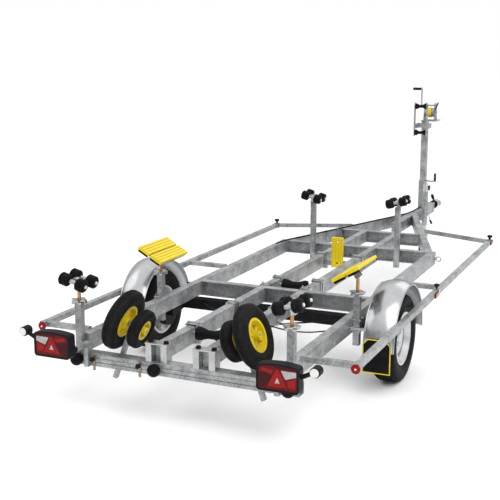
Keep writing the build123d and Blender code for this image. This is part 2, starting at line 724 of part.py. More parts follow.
def lamp_plate(inset, rear_y, depth):
    """Slab with the lamp's outline: level foot, arched top and round corners."""
    half_w = LAMP_W / 2.0 - inset
    foot = LAMP_Z - LAMP_H / 2.0 + inset
    brow = LAMP_Z + LAMP_H / 2.0 - LAMP_ARCH - inset
    with BuildPart() as part:
        with BuildSketch(Plane.XZ.offset(-rear_y)) as face:
            with BuildLine():
                Polyline((-half_w, brow), (-half_w, foot), (half_w, foot), (half_w, brow))
                ThreePointArc((half_w, brow), (0, brow + LAMP_ARCH), (-half_w, brow))
            make_face()
            fillet(face.vertices(), LAMP_CORNER - inset / 2.0)
        extrude(amount=-depth)
    return part.part


lens_rear = LAMP_FACE_Y + LENS_SINK
lens_front = lens_rear + LENS_T
lamp_back = LAMP_FACE_Y + LAMP_D
marker_y = LAMP_FACE_Y + LAMP_D / 2.0
triangle = []
for corner in (90.0, 210.0, 330.0):
    turn = math.radians(corner)
    triangle.append((TRIANGLE_R * math.cos(turn), LAMP_Z - LAMP_BEZEL + TRIANGLE_R * math.sin(turn)))
housings = []
lenses = []
for s in SIDES.values():
    shell = lamp_plate(0.0, LAMP_FACE_Y, LAMP_D)
    shell = fillet(shell.faces().sort_by(Axis.Y)[-1].edges(), LAMP_BACK_EDGE)
    shell -= lamp_plate(LAMP_BEZEL - SEAT_FIT, LAMP_FACE_Y, lens_front - LAMP_FACE_Y)
    shell = Pos(s * LAMP_X, 0, 0) * shell
    arm_mid = s * (LAMP_X - LAMP_ARM_IN)
    arm_low = LAMP_Z - LAMP_H / 2.0 + LAMP_CORNER
    half_arm = LAMP_ARM_W / 2.0
    shell += block(arm_mid - half_arm, arm_mid + half_arm, lamp_back - LAMP_BACK_EDGE, BEAM_REAR,
                   arm_low, arm_low + LAMP_ARM_W)
    shell += block(arm_mid - half_arm, arm_mid + half_arm, BEAM_REAR - LAMP_ARM_W, BEAM_REAR,
                   BEAM_BOTTOM, arm_low + LAMP_ARM_W)
    plug_x = s * (LAMP_X - LAMP_ARM_IN / 2.0)
    shell += rod_y(PLUG_R, lamp_back - LAMP_BACK_EDGE, lamp_back + PLUG_L, plug_x, LAMP_Z)
    root_x = s * (LAMP_X + LAMP_W / 2.0 - LAMP_CORNER)
    marker_x = s * (LAMP_X + LAMP_W / 2.0 + MARKER_REACH)
    reach = abs(marker_x - root_x)
    lean = math.degrees(math.atan2(MARKER_RISE, reach))
    stalk = Pos((marker_x + root_x) / 2.0, marker_y, LAMP_Z + MARKER_RISE / 2.0) * Rot(0, 90.0 - s * lean, 0)
    shell += stalk * Cylinder(MARKER_STALK_R, math.hypot(MARKER_RISE, reach))
    half_head = MARKER_HEAD_L / 2.0
    head = rod_y(MARKER_HEAD_R, marker_y - half_head, marker_y + half_head, marker_x, LAMP_Z + MARKER_RISE)
    shell += fillet(head.edges(), MARKER_LENS_T)
    housings.append(shell)
    lens = lamp_plate(LAMP_BEZEL, lens_rear, LENS_T)
    lens += prism(Plane.XZ.offset(-lens_rear), triangle, TRIANGLE_RISE)
    lenses.append(Pos(s * LAMP_X, 0, 0) * lens)
    lenses.append(rod_y(MARKER_LENS_R, marker_y - half_head - MARKER_LENS_T, marker_y - half_head,
                        marker_x, LAMP_Z + MARKER_RISE))
    disc = turned([(0.0, 0.0), (0.0, REFLECTOR_R), (-REFLECTOR_T / 2.0, REFLECTOR_R),
                   (-REFLECTOR_T, REFLECTOR_R / 2.0), (-REFLECTOR_T, 0.0)])
    lenses.append(Pos(s * GUARD_X, GUARD_REAR_Y, GUARD_Z - half_guard / 2.0) * Rot(0, 0, 90) * disc)
    for amber_y in (AXLE_Y + AXLE_TO_AMBER, GUARD_FRONT_Y - AMBER_FRONT_IN):
        x0 = s * (GUARD_X + half_guard)
        x1 = x0 + s * AMBER_T
        amber = block(x0, x1, amber_y - AMBER_L / 2.0, amber_y + AMBER_L / 2.0,
                      GUARD_Z - AMBER_H / 2.0, GUARD_Z + AMBER_H / 2.0)
        lenses.append(fillet(amber.edges().filter_by(Axis.X), AMBER_T))
put("lamp_housings", *housings)
put("lamp_lenses", *lenses)

# Rubber: ball buffers on the rear beam and the bellows of the coupling.
rubbers = []
for buffer_x in (-STAND_X, -CENTRE_RAIL_X, STAND_X):
    ball = Pos(buffer_x, BEAM_REAR - BUFFER_R + BUFFER_SEAT, SLOT_Z) * Sphere(BUFFER_R)
    rubbers.append(ball - block(buffer_x - BUFFER_R, buffer_x + BUFFER_R, BEAM_REAR, BEAM_REAR + BUFFER_R,
                                SLOT_Z - BUFFER_R, SLOT_Z + BUFFER_R))
folds = []
bellows_end = BELLOWS_L - SEAT_FIT
fold_l = (bellows_end - SEAT_FIT) / BELLOWS_FOLDS
for i in range(BELLOWS_FOLDS):
    fold_x = SEAT_FIT + i * fold_l
    folds += [(fold_x, BELLOWS_R - BELLOWS_GROOVE), (fold_x + fold_l / 2.0, BELLOWS_R)]
folds.append((bellows_end, BELLOWS_R - BELLOWS_GROOVE))
bore = NECK_ROD_R + SEAT_FIT
bellows = turned([(SEAT_FIT, bore)] + folds + [(bellows_end, bore)])
rubbers.append(Pos(0, DRAWBAR_FRONT_Y + NECK_FLANGE, neck_z) * Rot(0, 0, 90) * bellows)
put("rubber_buffers", *rubbers)

# Hull support heads: a rocker on a pin, with two axles of two rollers each.


def head_place(x, y, z, side):
    """Frame of a support head, leaning inwards."""
    return Pos(x, y, z) * Rot(0, -side * HEAD_TILT, 0)


def eye_x():
    """Eye that takes the pin of a rocker, bored along X."""
    return rod_x(EYE_R, -EYE_W / 2.0, EYE_W / 2.0) - rod_x(PIN_R + SHAFT_FIT, -EYE_W, EYE_W)


def rocker():
    """Two side links on a pin, with a sleeve at each end for a roller axle."""
    inner = EYE_W / 2.0 + SIDE_PLAY
    outer = inner + ROCKER_T
    body = rod_x(PIN_R, -outer, outer)
    for s in SIDES.values():
        body += link_x(2.0 * ROLLER_BASE, ROCKER_H, s * inner, s * outer)
        body += rod_x(ROCKER_SLEEVE_R, -outer, outer, s * ROLLER_BASE)
    for s in SIDES.values():
        body -= rod_x(PIN_R + SHAFT_FIT, -outer, outer, s * ROLLER_BASE)
    return body


def roller_pair():
    """Axle with a grooved roller and a nut on each end."""
    end = ROLLER_IN + ROLLER_L
    body = rod_x(PIN_R, -end, end)
    groove_r = ROLLER_R - ROLLER_GROOVE
    for s in SIDES.values():
        profile = [
            (ROLLER_IN, 0.0), (ROLLER_IN, ROLLER_R - ROLLER_EDGE), (ROLLER_IN + ROLLER_EDGE, ROLLER_R),
            (end - 3.0 * ROLLER_EDGE, ROLLER_R), (end - 2.5 * ROLLER_EDGE, groove_r),
            (end - 2.0 * ROLLER_EDGE, ROLLER_R), (end - ROLLER_EDGE, ROLLER_R),
            (end, ROLLER_R - ROLLER_EDGE), (end, 0.0)]
        body += turned([(s * x, r) for x, r in profile])
        body += rod_x(ROLLER_NUT_R, s * end, s * (end + ROLLER_NUT_T))
    return body


def hand_wheel(x, y, z):
    """Lobed hand nut on top of a post, bored for the spindle."""
    body = rod_z(HAND_HUB_R, z, z + HAND_T, x, y)
    for i in range(HAND_LOBES):
        turn = 2.0 * math.pi * (i + 0.5) / HAND_LOBES
        lobe_x = x + HAND_LOBE_AT * math.cos(turn)
        lobe_y = y + HAND_LOBE_AT * math.sin(turn)
        body += rod_z(HAND_LOBE_R, z, z + HAND_T, lobe_x, lobe_y)
    return body - rod_z(SPINDLE_R + SHAFT_FIT, z, z + HAND_T, x, y)


def screw_post(x, y, z0, z1):
    """Square post, bored for its spindle."""
    bore = rod_z(SPINDLE_R + SHAFT_FIT, z1 - SPINDLE_IN - SPINDLE_SPARE, z1, x, y)
    return square_post(x, y, POST_SIZE, z0, z1) - bore


HEADS = [
    {"end": "rear", "x": STAND_X, "y": STAND_Y, "z": STAND_PIVOT_Z, "screw": True},
    {"end": "front", "x": FRONT_STAND_X, "y": FRONT_STAND_Y, "z": FRONT_STAND_PIVOT_Z, "screw": False},
]
posts = []
hand_wheels = []
for row in HEADS:
    for name, s in SIDES.items():
        key = f"{row['end']}_{name}"
        x = s * row["x"]
        place = head_place(x, row["y"], row["z"], s)
        eye = place * eye_x()
        neck_top = row["z"] - EYE_R / 2.0
        if row["screw"]:
            post_top = row["z"] - STAND_NECK - HAND_T
            posts.append(screw_post(x, row["y"], RAIL_BOTTOM, post_top))
            hand_wheels.append(hand_wheel(x, row["y"], post_top))
            spindle = rod_z(SPINDLE_R, post_top - SPINDLE_IN, neck_top, x, row["y"])
            put(f"spindle_{key}", spindle - place * rod_x(PIN_R + SHAFT_FIT, -EYE_W, EYE_W) + eye)
        else:
            post_top = row["z"] - FRONT_STAND_DROP
            post = square_post(x, row["y"], POST_SIZE, RAIL_BOTTOM - FRONT_STAND_FOOT, post_top)
            post += rod_z(SPINDLE_R, post_top, neck_top, x, row["y"])
            posts.append(post - place * rod_x(PIN_R + SHAFT_FIT, -EYE_W, EYE_W) + eye)
        put(f"rocker_{key}", place * rocker())
        for axle_name, along in (("aft", -ROLLER_BASE), ("fore", ROLLER_BASE)):
            put(f"rollers_{key}_{axle_name}", place * Pos(0, along, 0) * roller_pair())

# Bunks: two ribbed boards on a tray that tilts on the head of a screw.


def ribbed_board(length, width, thick, edge, grooves, pitch):
    """Moulded board along Y, its top edges rounded and its top grooved; its foot is on z = 0."""
    body = block(-width / 2.0, width / 2.0, -length / 2.0, length / 2.0, 0.0, thick)
    body = fillet(body.faces().sort_by(Axis.Z)[-1].edges(), edge)
    half_groove = BOARD_GROOVE_W / 2.0
    for i in range(grooves):
        x = (i - (grooves - 1) / 2.0) * pitch
        body -= block(x - half_groove, x + half_groove, -length / 2.0, length / 2.0,
                      thick - BOARD_GROOVE_D, thick)
    return body


def bunk_tray():
    """Tray with lips turned down, on two lugs and a pin along Y."""
    half_w = TRAY_W / 2.0
    top = TRAY_Z + TRAY_T
    body = block(-half_w, half_w, -TRAY_L / 2.0, TRAY_L / 2.0, TRAY_Z, top)
    lug_in = EYE_W / 2.0 + SIDE_PLAY
    for t in SIDES.values():
        body += block(t * half_w, t * (half_w - TRAY_T), -TRAY_L / 2.0, TRAY_L / 2.0, top - TRAY_LIP, top)
        body += block(-LUG_W / 2.0, LUG_W / 2.0, t * lug_in, t * (lug_in + LUG_T), -LUG_DROP, TRAY_Z)
    return body + rod_y(PIN_R, -lug_in - LUG_T, lug_in + LUG_T)


for name, s in SIDES.items():
    place = Pos(s * BUNK_X, BUNK_Y, BUNK_PIVOT_Z) * Rot(0, -s * BUNK_TILT, 0)
    post_top = BUNK_PIVOT_Z - BUNK_NECK - HAND_T
    posts.append(screw_post(s * BUNK_X, BUNK_Y, RAIL_BOTTOM - BUNK_POST_FOOT, post_top))
    hand_wheels.append(hand_wheel(s * BUNK_X, BUNK_Y, post_top))
    spindle = rod_z(SPINDLE_R, post_top - SPINDLE_IN, BUNK_PIVOT_Z - EYE_R / 2.0, s * BUNK_X, BUNK_Y)
    spindle += rod_y(EYE_R, BUNK_Y - EYE_W / 2.0, BUNK_Y + EYE_W / 2.0, s * BUNK_X, BUNK_PIVOT_Z)
    spindle -= rod_y(PIN_R + SHAFT_FIT, BUNK_Y - EYE_W, BUNK_Y + EYE_W, s * BUNK_X, BUNK_PIVOT_Z)
    put(f"spindle_bunk_{name}", spindle)
    put(f"bunk_cradle_{name}", place * bunk_tray())
    board = ribbed_board(BOARD_L, BOARD_W, BOARD_T, BOARD_EDGE, BOARD_GROOVES, BOARD_GROOVE_PITCH)
    spacing = (BOARD_W + BOARD_GAP) / 2.0
    seat_z = TRAY_Z + TRAY_T
    put(f"bunk_boards_{name}", *[place * Pos(t * spacing, 0, seat_z) * board for t in SIDES.values()])

# Slip wheels: a big and a small one on each leaning arm in front of the rear beam.
SLIPS = [
    {"name": "big", "r": 195.0, "w": 90.0, "rim_r": 98.0, "along": 66.0},
    {"name": "small", "r": 125.0, "w": 76.0, "rim_r": 58.0, "along": -66.0},
]


def slip_rim(rim_r, width, hub_l):
    """Plastic rim: two flanges, a spoked disc and a bored hub."""
    bore = SLIP_PIN_R + SHAFT_FIT
    half = width / 2.0 + SEAT_FIT
    edge = half + SLIP_FLANGE_T
    half_disc = SLIP_DISC_T / 2.0
    bed = rim_r - SEAT_FIT
    flange_r = bed + SLIP_FLANGE_H
    window_in = SLIP_HUB_R
    window_out = bed - 1.5 * SLIP_RIM_SHEET
    body = turned([
        (-half, bed), (-half, flange_r), (-edge, flange_r), (-edge, bed - SLIP_RIM_SHEET),
        (-half_disc, window_out), (-half_disc, bore), (half_disc, bore), (half_disc, window_out),
        (edge, bed - SLIP_RIM_SHEET), (edge, flange_r), (half, flange_r), (half, bed)])
    half_spoke = SLIP_SPOKE_W / 2.0
    open_angle = math.pi / SLIP_SPOKES
    window = []
    for r, sign in ((window_in, -1.0), (window_out, -1.0), (window_out, 1.0), (window_in, 1.0)):
        a = sign * (open_angle - math.asin(half_spoke / r))
        window.append((r * math.cos(a), r * math.sin(a)))
    cut = prism(Plane.YZ.offset(-half_disc), window, SLIP_DISC_T)
    for gap in ring_of(cut, SLIP_SPOKES):
        body -= gap
    hub = rod_x(SLIP_HUB_R, -hub_l / 2.0, hub_l / 2.0) - rod_x(bore, -hub_l, hub_l)
    return body + hub


slip_arms = []
for name, s in SIDES.items():
    place = Pos(s * SLIP_X, SLIP_Y, SLIP_Z) * Rot(0, -s * SLIP_TILT, 0)
    half_t = SLIP_ARM_T / 2.0
    half_d = SLIP_ARM_D / 2.0
    slip_arm = block(-half_t, half_t, -half_d, half_d, -SLIP_ARM_DOWN, SLIP_ARM_UP)
    slip_arm = fillet(slip_arm.edges().filter_by(Axis.Z), POST_EDGE)
    ends = [row["along"] + math.copysign(row["w"] / 2.0, row["along"]) for row in SLIPS]
    slip_arms.append(place * (slip_arm + rod_x(SLIP_PIN_R, s * min(ends), s * max(ends))))
    for row in SLIPS:
        hub = place * Pos(s * row["along"], 0, 0)
        hub_l = 2.0 * (abs(row["along"]) - half_t - SIDE_PLAY)
        bead_w = 0.6 * row["w"]
        crown_w = 0.3 * row["w"]
        shoulder = 0.25 * (row["r"] - row["rim_r"])
        bead_h = SLIP_FLANGE_H + FLANGE_GAP
        put(f"slip_tyre_{name}_{row['name']}",
            hub * tyre(row["rim_r"], bead_w, bead_h, row["r"], row["w"], crown_w, shoulder))
        put(f"slip_rim_{name}_{row['name']}", hub * slip_rim(row["rim_r"], bead_w, min(hub_l, row["w"])))
put("slip_wheel_arms", *slip_arms)

# Keel rollers on rods between the centre rails.
clamps = []
for name, keel_y in (("aft", KEEL_AFT_Y), ("fore", KEEL_FORE_Y)):
    clamps.append(rod_x(KEEL_ROD_R, -CENTRE_IN, CENTRE_IN, keel_y, KEEL_ROLLER_Z))
    half_l = KEEL_ROLLER_L / 2.0
    bore = KEEL_ROD_R + SHAFT_FIT
    flat = half_l - KEEL_RIM
    waist = turned([
        (-half_l, bore), (-half_l, KEEL_ROLLER_R), (-flat, KEEL_ROLLER_R), (-KEEL_RIM, KEEL_WAIST_R),
        (KEEL_RIM, KEEL_WAIST_R), (flat, KEEL_ROLLER_R), (half_l, KEEL_ROLLER_R), (half_l, bore)])
    put(f"keel_roller_{name}", Pos(0, keel_y, KEEL_ROLLER_Z) * waist)

# Keel stop: a ribbed upright board in front of a cross tube.
half_stop = STOP_TUBE / 2.0
stop_front = STOP_Y + STOP_T / 2.0
clamps.append(block(-CENTRE_IN, CENTRE_IN, stop_front, stop_front + STOP_TUBE,
                    STOP_TUBE_Z - half_stop, STOP_TUBE_Z + half_stop))
stop_h = STOP_TOP - STOP_BOTTOM
stop = ribbed_board(stop_h, STOP_W, STOP_T, BOARD_EDGE, STOP_GROOVES, BOARD_GROOVE_PITCH)
stop = Pos(0, stop_front, (STOP_TOP + STOP_BOTTOM) / 2.0) * Rot(90, 0, 0) * stop
for hole_z in (STOP_BOTTOM + STOP_HOLE_IN, STOP_TOP - STOP_HOLE_IN):
    stop -= rod_y(STOP_HOLE_R, stop_front - STOP_T, stop_front, 0, hole_z)
put("keel_stop_board", stop)

# Clamps: plates over and under a rail with two rods each, yokes on the rear beam, hand wheels.


def rail_clamp(x, y):
    """Plate over a rail, plate under it and a rod at each side."""
    half = RAIL_W / 2.0 + CLAMP_OVER
    half_l = CLAMP_L / 2.0
    body = block(x - half, x + half, y - half_l, y + half_l, RAIL_TOP, RAIL_TOP + CLAMP_PLATE_T)
    body += block(x - half, x + half, y - half_l, y + half_l, RAIL_BOTTOM - CLAMP_PLATE_T, RAIL_BOTTOM)
    for t in SIDES.values():
        rod = t * (RAIL_W / 2.0 + CLAMP_ROD_R + SIDE_PLAY)
        body += rod_z(CLAMP_ROD_R, RAIL_BOTTOM - CLAMP_UNDER, RAIL_TOP + CLAMP_UNDER, x + rod, y)
    return body


def rail_yoke(x):
    """Inverted U over a centre rail, standing on the rear beam."""
    inner = RAIL_W / 2.0 + YOKE_GAP
    y0 = BEAM_REAR + BEAM_EDGE
    y1 = BEAM_FRONT - BEAM_EDGE
    body = block(x - inner - YOKE_T - YOKE_LIP, x + inner + YOKE_T + YOKE_LIP, y0, y1,
                 RAIL_TOP, RAIL_TOP + YOKE_PLATE)
    for t in SIDES.values():
        body += block(x + t * inner, x + t * (inner + YOKE_T), y0, y1, RAIL_BOTTOM, RAIL_TOP)
    return body


CLAMP_STATIONS = [KEEL_AFT_Y, KEEL_FORE_Y, STOP_Y]
for s in SIDES.values():
    clamps += [rail_clamp(s * CENTRE_RAIL_X, y + CLAMP_L) for y in CLAMP_STATIONS]
    clamps.append(rail_yoke(s * CENTRE_RAIL_X))
put("clamp_brackets", *clamps, *hand_wheels)

# Winch post: inner tube in the sleeve, winch shelf, bow frame and winch side plates.
half_inner = INNER_SIZE / 2.0
mast = tube_bar(-half_inner, half_inner, POST_Y - half_inner, POST_Y + half_inner,
                RAIL_TOP + INNER_FOOT, INNER_TOP, SLEEVE_EDGE, Axis.Z)
mast += block(-SHELF_LEFT, SHELF_RIGHT, POST_Y - SHELF_BACK, POST_Y + SHELF_FRONT,
              INNER_TOP, INNER_TOP + SHELF_T)
half_bar_t = BAR_T / 2.0
bar_mid = (BAR_BOTTOM + BAR_TOP) / 2.0
for s in SIDES.values():
    upright = link_x(BAR_TOP - BAR_BOTTOM - BAR_W, BAR_W, s * (BAR_X - half_bar_t), s * (BAR_X + half_bar_t))
    mast += Pos(0, BOW_Y, bar_mid) * Rot(90, 0, 0) * upright
    mast += block(s * (BAR_X - half_bar_t), s * (BAR_X + half_bar_t), BOW_Y, POST_Y, TIE_BOTTOM, TIE_TOP)
tie_y = POST_Y - half_inner
mast += block(-BAR_X, BAR_X, tie_y - BAR_T, tie_y, TIE_BOTTOM, TIE_TOP)
PLATES = [WINCH_PLATE_LEFT, WINCH_PLATE_RIGHT]
half_plate = WINCH_PLATE_T / 2.0
foot_half = WINCH_PLATE_W / 2.0
shelf_top = INNER_TOP + SHELF_T
for plate_x in PLATES:
    with BuildPart() as cheek:
        with BuildSketch(Plane.YZ.offset(plate_x - half_plate)):
            with BuildLine():
                Polyline((WINCH_Y - WINCH_HEAD_R, CRANK_Z), (WINCH_Y - foot_half, shelf_top),
                         (WINCH_Y + foot_half, shelf_top), (WINCH_Y + WINCH_HEAD_R, CRANK_Z))
                ThreePointArc((WINCH_Y + WINCH_HEAD_R, CRANK_Z), (WINCH_Y, CRANK_Z + WINCH_HEAD_R),
                              (WINCH_Y - WINCH_HEAD_R, CRANK_Z))
            make_face()
        extrude(amount=WINCH_PLATE_T)
    mast += cheek.part
for plate_x in PLATES:
    mast -= rod_x(DRUM_SHAFT_R + SHAFT_FIT, plate_x - half_plate, plate_x + half_plate, WINCH_Y, DRUM_Z)
    mast -= rod_x(CRANK_SHAFT_R + SHAFT_FIT, plate_x - half_plate, plate_x + half_plate, WINCH_Y, CRANK_Z)
for roll_z in (BOW_ROLLER_LOW, BOW_ROLLER_HIGH):
    mast -= rod_x(PIN_R + SHAFT_FIT, -BAR_X - BAR_T, BAR_X + BAR_T, BOW_Y, roll_z)
put("winch_post", mast)

# Winch gears: involute flanks, the pinion on the crank's shaft and the wheel on the drum's.


def gear(teeth, shift, x0, width):
    """Spur gear about X, a tooth pointing up when shift is 0 and a gap when it is half a tooth."""
    pitch_r = GEAR_MODULE * teeth / 2.0
    alpha = math.radians(PRESSURE_ANGLE)
    base_r = pitch_r * math.cos(alpha)
    half_pitch = (math.pi * GEAR_MODULE / 2.0 - BACKLASH) / (2.0 * pitch_r)
    tip_r = pitch_r + ADDENDUM * GEAR_MODULE
    root_r = pitch_r - DEDENDUM * GEAR_MODULE

    def half_angle(r):
        """Half the tooth's angle at a radius, radial below the base circle."""
        a = math.acos(min(1.0, base_r / r))
        return half_pitch + math.tan(alpha) - alpha - math.tan(a) + a

    outline = []
    for i in range(teeth):
        mid = 2.0 * math.pi * (i + shift) / teeth
        flank = [(r, half_angle(r)) for r in (root_r, max(root_r, base_r), pitch_r, tip_r)]
        for r, a in [(r, -a) for r, a in flank] + flank[::-1]:
            outline.append((r * math.sin(mid + a), r * math.cos(mid + a)))
    return prism(Plane.YZ.offset(x0), outline, width)


gear_x = WINCH_PLATE_RIGHT - half_plate - SIDE_PLAY - GEAR_T
drum_left = WINCH_PLATE_LEFT + half_plate + SIDE_PLAY
drum = rod_x(DRUM_SHAFT_R, WINCH_PLATE_LEFT - WINCH_PLATE_T, WINCH_PLATE_RIGHT + WINCH_PLATE_T)
drum += rod_x(DRUM_R, drum_left, gear_x)
drum += rod_x(DRUM_FLANGE_R, drum_left, drum_left + DRUM_FLANGE_T)
drum += rod_x(DRUM_FLANGE_R, gear_x - 2.0 * DRUM_FLANGE_T, gear_x - DRUM_FLANGE_T)
drum += gear(GEAR_TEETH, 0.0, gear_x, GEAR_T)
put("winch_drum", Pos(0, WINCH_Y, DRUM_Z) * drum)
crank = rod_x(CRANK_SHAFT_R, CRANK_X, WINCH_PLATE_RIGHT + WINCH_PLATE_T)
crank += Rot(180, 0, 0) * gear(PINION_TEETH, 0.5, gear_x, GEAR_T)
handle = link_x(CRANK_THROW, CRANK_W, CRANK_X - CRANK_T / 2.0, CRANK_X + CRANK_T / 2.0)
crank += Pos(0, 0, CRANK_THROW / 2.0) * Rot(90, 0, 0) * handle
grip = rod_x(GRIP_R, CRANK_X - GRIP_L, CRANK_X, 0, CRANK_THROW)
crank += fillet(grip.edges(), GRIP_R / 2.0)
put("winch_crank", Pos(0, WINCH_Y, CRANK_Z) * crank)
for name, roll_z in (("lower", BOW_ROLLER_LOW), ("upper", BOW_ROLLER_HIGH)):
    end = BAR_X - half_bar_t - SIDE_PLAY
    flat = end - BOW_ROLLER_RIM
    roller = turned([
        (-end, 0.0), (-end, BOW_ROLLER_R), (-flat, BOW_ROLLER_R), (-flat / 2.0, BOW_ROLLER_WAIST),
        (flat / 2.0, BOW_ROLLER_WAIST), (flat, BOW_ROLLER_R), (end, BOW_ROLLER_R), (end, 0.0)])
    pin_end = BAR_X + BAR_T
    put(f"bow_roller_{name}", Pos(0, BOW_Y, roll_z) * (roller + rod_x(PIN_R, -pin_end, pin_end)))

# Jockey wheel: sleeve on the drawbar, sliding tube with a crank, swivelling fork and wheel.
jockey_sleeve = rod_z(JOCKEY_OUT_R, JOCKEY_SLEEVE_LOW, JOCKEY_SLEEVE_TOP, JOCKEY_X, JOCKEY_Y)
jockey_sleeve += block(half_bar, JOCKEY_X, JOCKEY_Y - JOCKEY_IN_R, JOCKEY_Y + JOCKEY_IN_R,
                       RAIL_BOTTOM + RAIL_EDGE, RAIL_TOP - RAIL_EDGE)
jockey_sleeve -= rod_z(JOCKEY_IN_R + SHAFT_FIT, JOCKEY_SLEEVE_LOW, JOCKEY_SLEEVE_TOP, JOCKEY_X, JOCKEY_Y)
put("stand_posts", *posts, jockey_sleeve)
crank_z = JOCKEY_TOP + JOCKEY_CRANK_R * 3.0
inner = rod_z(JOCKEY_IN_R, FORK_Z, JOCKEY_TOP)
inner += rod_z(JOCKEY_CRANK_R, JOCKEY_TOP, crank_z + JOCKEY_CRANK_T)
inner += block(-JOCKEY_CRANK_R, JOCKEY_CRANK_L + JOCKEY_CRANK_T, -JOCKEY_CRANK_R, JOCKEY_CRANK_R,
               crank_z, crank_z + JOCKEY_CRANK_T)
grip_z = crank_z + JOCKEY_CRANK_T
inner += rod_z(JOCKEY_CRANK_T, grip_z, grip_z + JOCKEY_GRIP_L, JOCKEY_CRANK_L)
fork_top = FORK_Z - SLIDE_FIT
inner += rod_z(JOCKEY_PIN_R, fork_top - FORK_TOP_T, FORK_Z)
put("jockey_tube", Pos(JOCKEY_X, JOCKEY_Y, 0) * inner)
fork_out = JOCKEY_W / 2.0 + FORK_PLAY + FORK_T
wheel_y = -JOCKEY_TRAIL
fork = block(-fork_out, fork_out, wheel_y - FORK_W / 2.0, JOCKEY_IN_R, fork_top - FORK_TOP_T, fork_top)
fork -= rod_z(JOCKEY_PIN_R + SHAFT_FIT, fork_top - FORK_TOP_T, fork_top)
for s in SIDES.values():
    cheek_x = s * (fork_out - FORK_T)
    fork += block(cheek_x, s * fork_out, wheel_y - FORK_W / 2.0, wheel_y + FORK_W / 2.0, JOCKEY_R, fork_top)
    fork += rod_x(FORK_W / 2.0, cheek_x, s * fork_out, wheel_y, JOCKEY_R)
fork += rod_x(JOCKEY_AXLE_R, -fork_out, fork_out, wheel_y, JOCKEY_R)
put("jockey_fork", Pos(JOCKEY_X, JOCKEY_Y, 0) * fork)
half_jw = JOCKEY_W / 2.0
tread = half_jw / 2.0
edge_x = half_jw - FORK_PLAY
edge_r = JOCKEY_R - FORK_TOP_T
bore = JOCKEY_AXLE_R + SHAFT_FIT
jockey_wheel = turned([
    (-half_jw, bore), (-half_jw, JOCKEY_RIM_R), (-edge_x, edge_r), (-tread, JOCKEY_R),
    (tread, JOCKEY_R), (edge_x, edge_r), (half_jw, JOCKEY_RIM_R), (half_jw, bore)])
put("jockey_wheel", Pos(JOCKEY_X, JOCKEY_Y + wheel_y, JOCKEY_R) * jockey_wheel)

for name, shape in nodes.items():
    shape.label = name
    export_step(shape, f"parts/{name}.step")
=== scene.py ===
"""Boat trailer: materials, fittings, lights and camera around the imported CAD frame."""
import json
import math

import bmesh
import bpy
from mathutils import Matrix, Vector


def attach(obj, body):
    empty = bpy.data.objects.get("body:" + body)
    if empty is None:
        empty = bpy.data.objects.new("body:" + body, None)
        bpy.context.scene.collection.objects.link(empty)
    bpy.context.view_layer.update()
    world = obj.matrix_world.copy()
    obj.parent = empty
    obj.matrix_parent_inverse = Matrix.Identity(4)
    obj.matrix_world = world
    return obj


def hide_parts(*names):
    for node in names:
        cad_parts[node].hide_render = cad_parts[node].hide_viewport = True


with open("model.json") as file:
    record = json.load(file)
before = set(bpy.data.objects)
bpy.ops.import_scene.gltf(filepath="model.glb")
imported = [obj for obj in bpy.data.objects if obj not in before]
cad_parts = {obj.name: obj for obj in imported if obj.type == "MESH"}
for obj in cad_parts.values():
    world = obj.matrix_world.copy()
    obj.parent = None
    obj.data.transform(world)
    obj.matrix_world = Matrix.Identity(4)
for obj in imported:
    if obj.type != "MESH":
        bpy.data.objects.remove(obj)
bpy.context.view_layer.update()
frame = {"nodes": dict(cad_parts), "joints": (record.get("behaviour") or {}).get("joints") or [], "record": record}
cad = frame["nodes"]
joints = {j["name"]: j for j in frame["joints"]}
ROOT = "trailer_frame"
SIDES = {"left": -1.0, "right": 1.0}
BOTH = tuple(SIDES.values())
MM = 0.001
FULL_TURN = 2.0 * math.pi
RIGHT = (1.0, 0.0, 0.0)
FORWARD = (0.0, 1.0, 0.0)
REARWARD = (0.0, -1.0, 0.0)
UP = (0.0, 0.0, 1.0)
DOWN = (0.0, 0.0, -1.0)

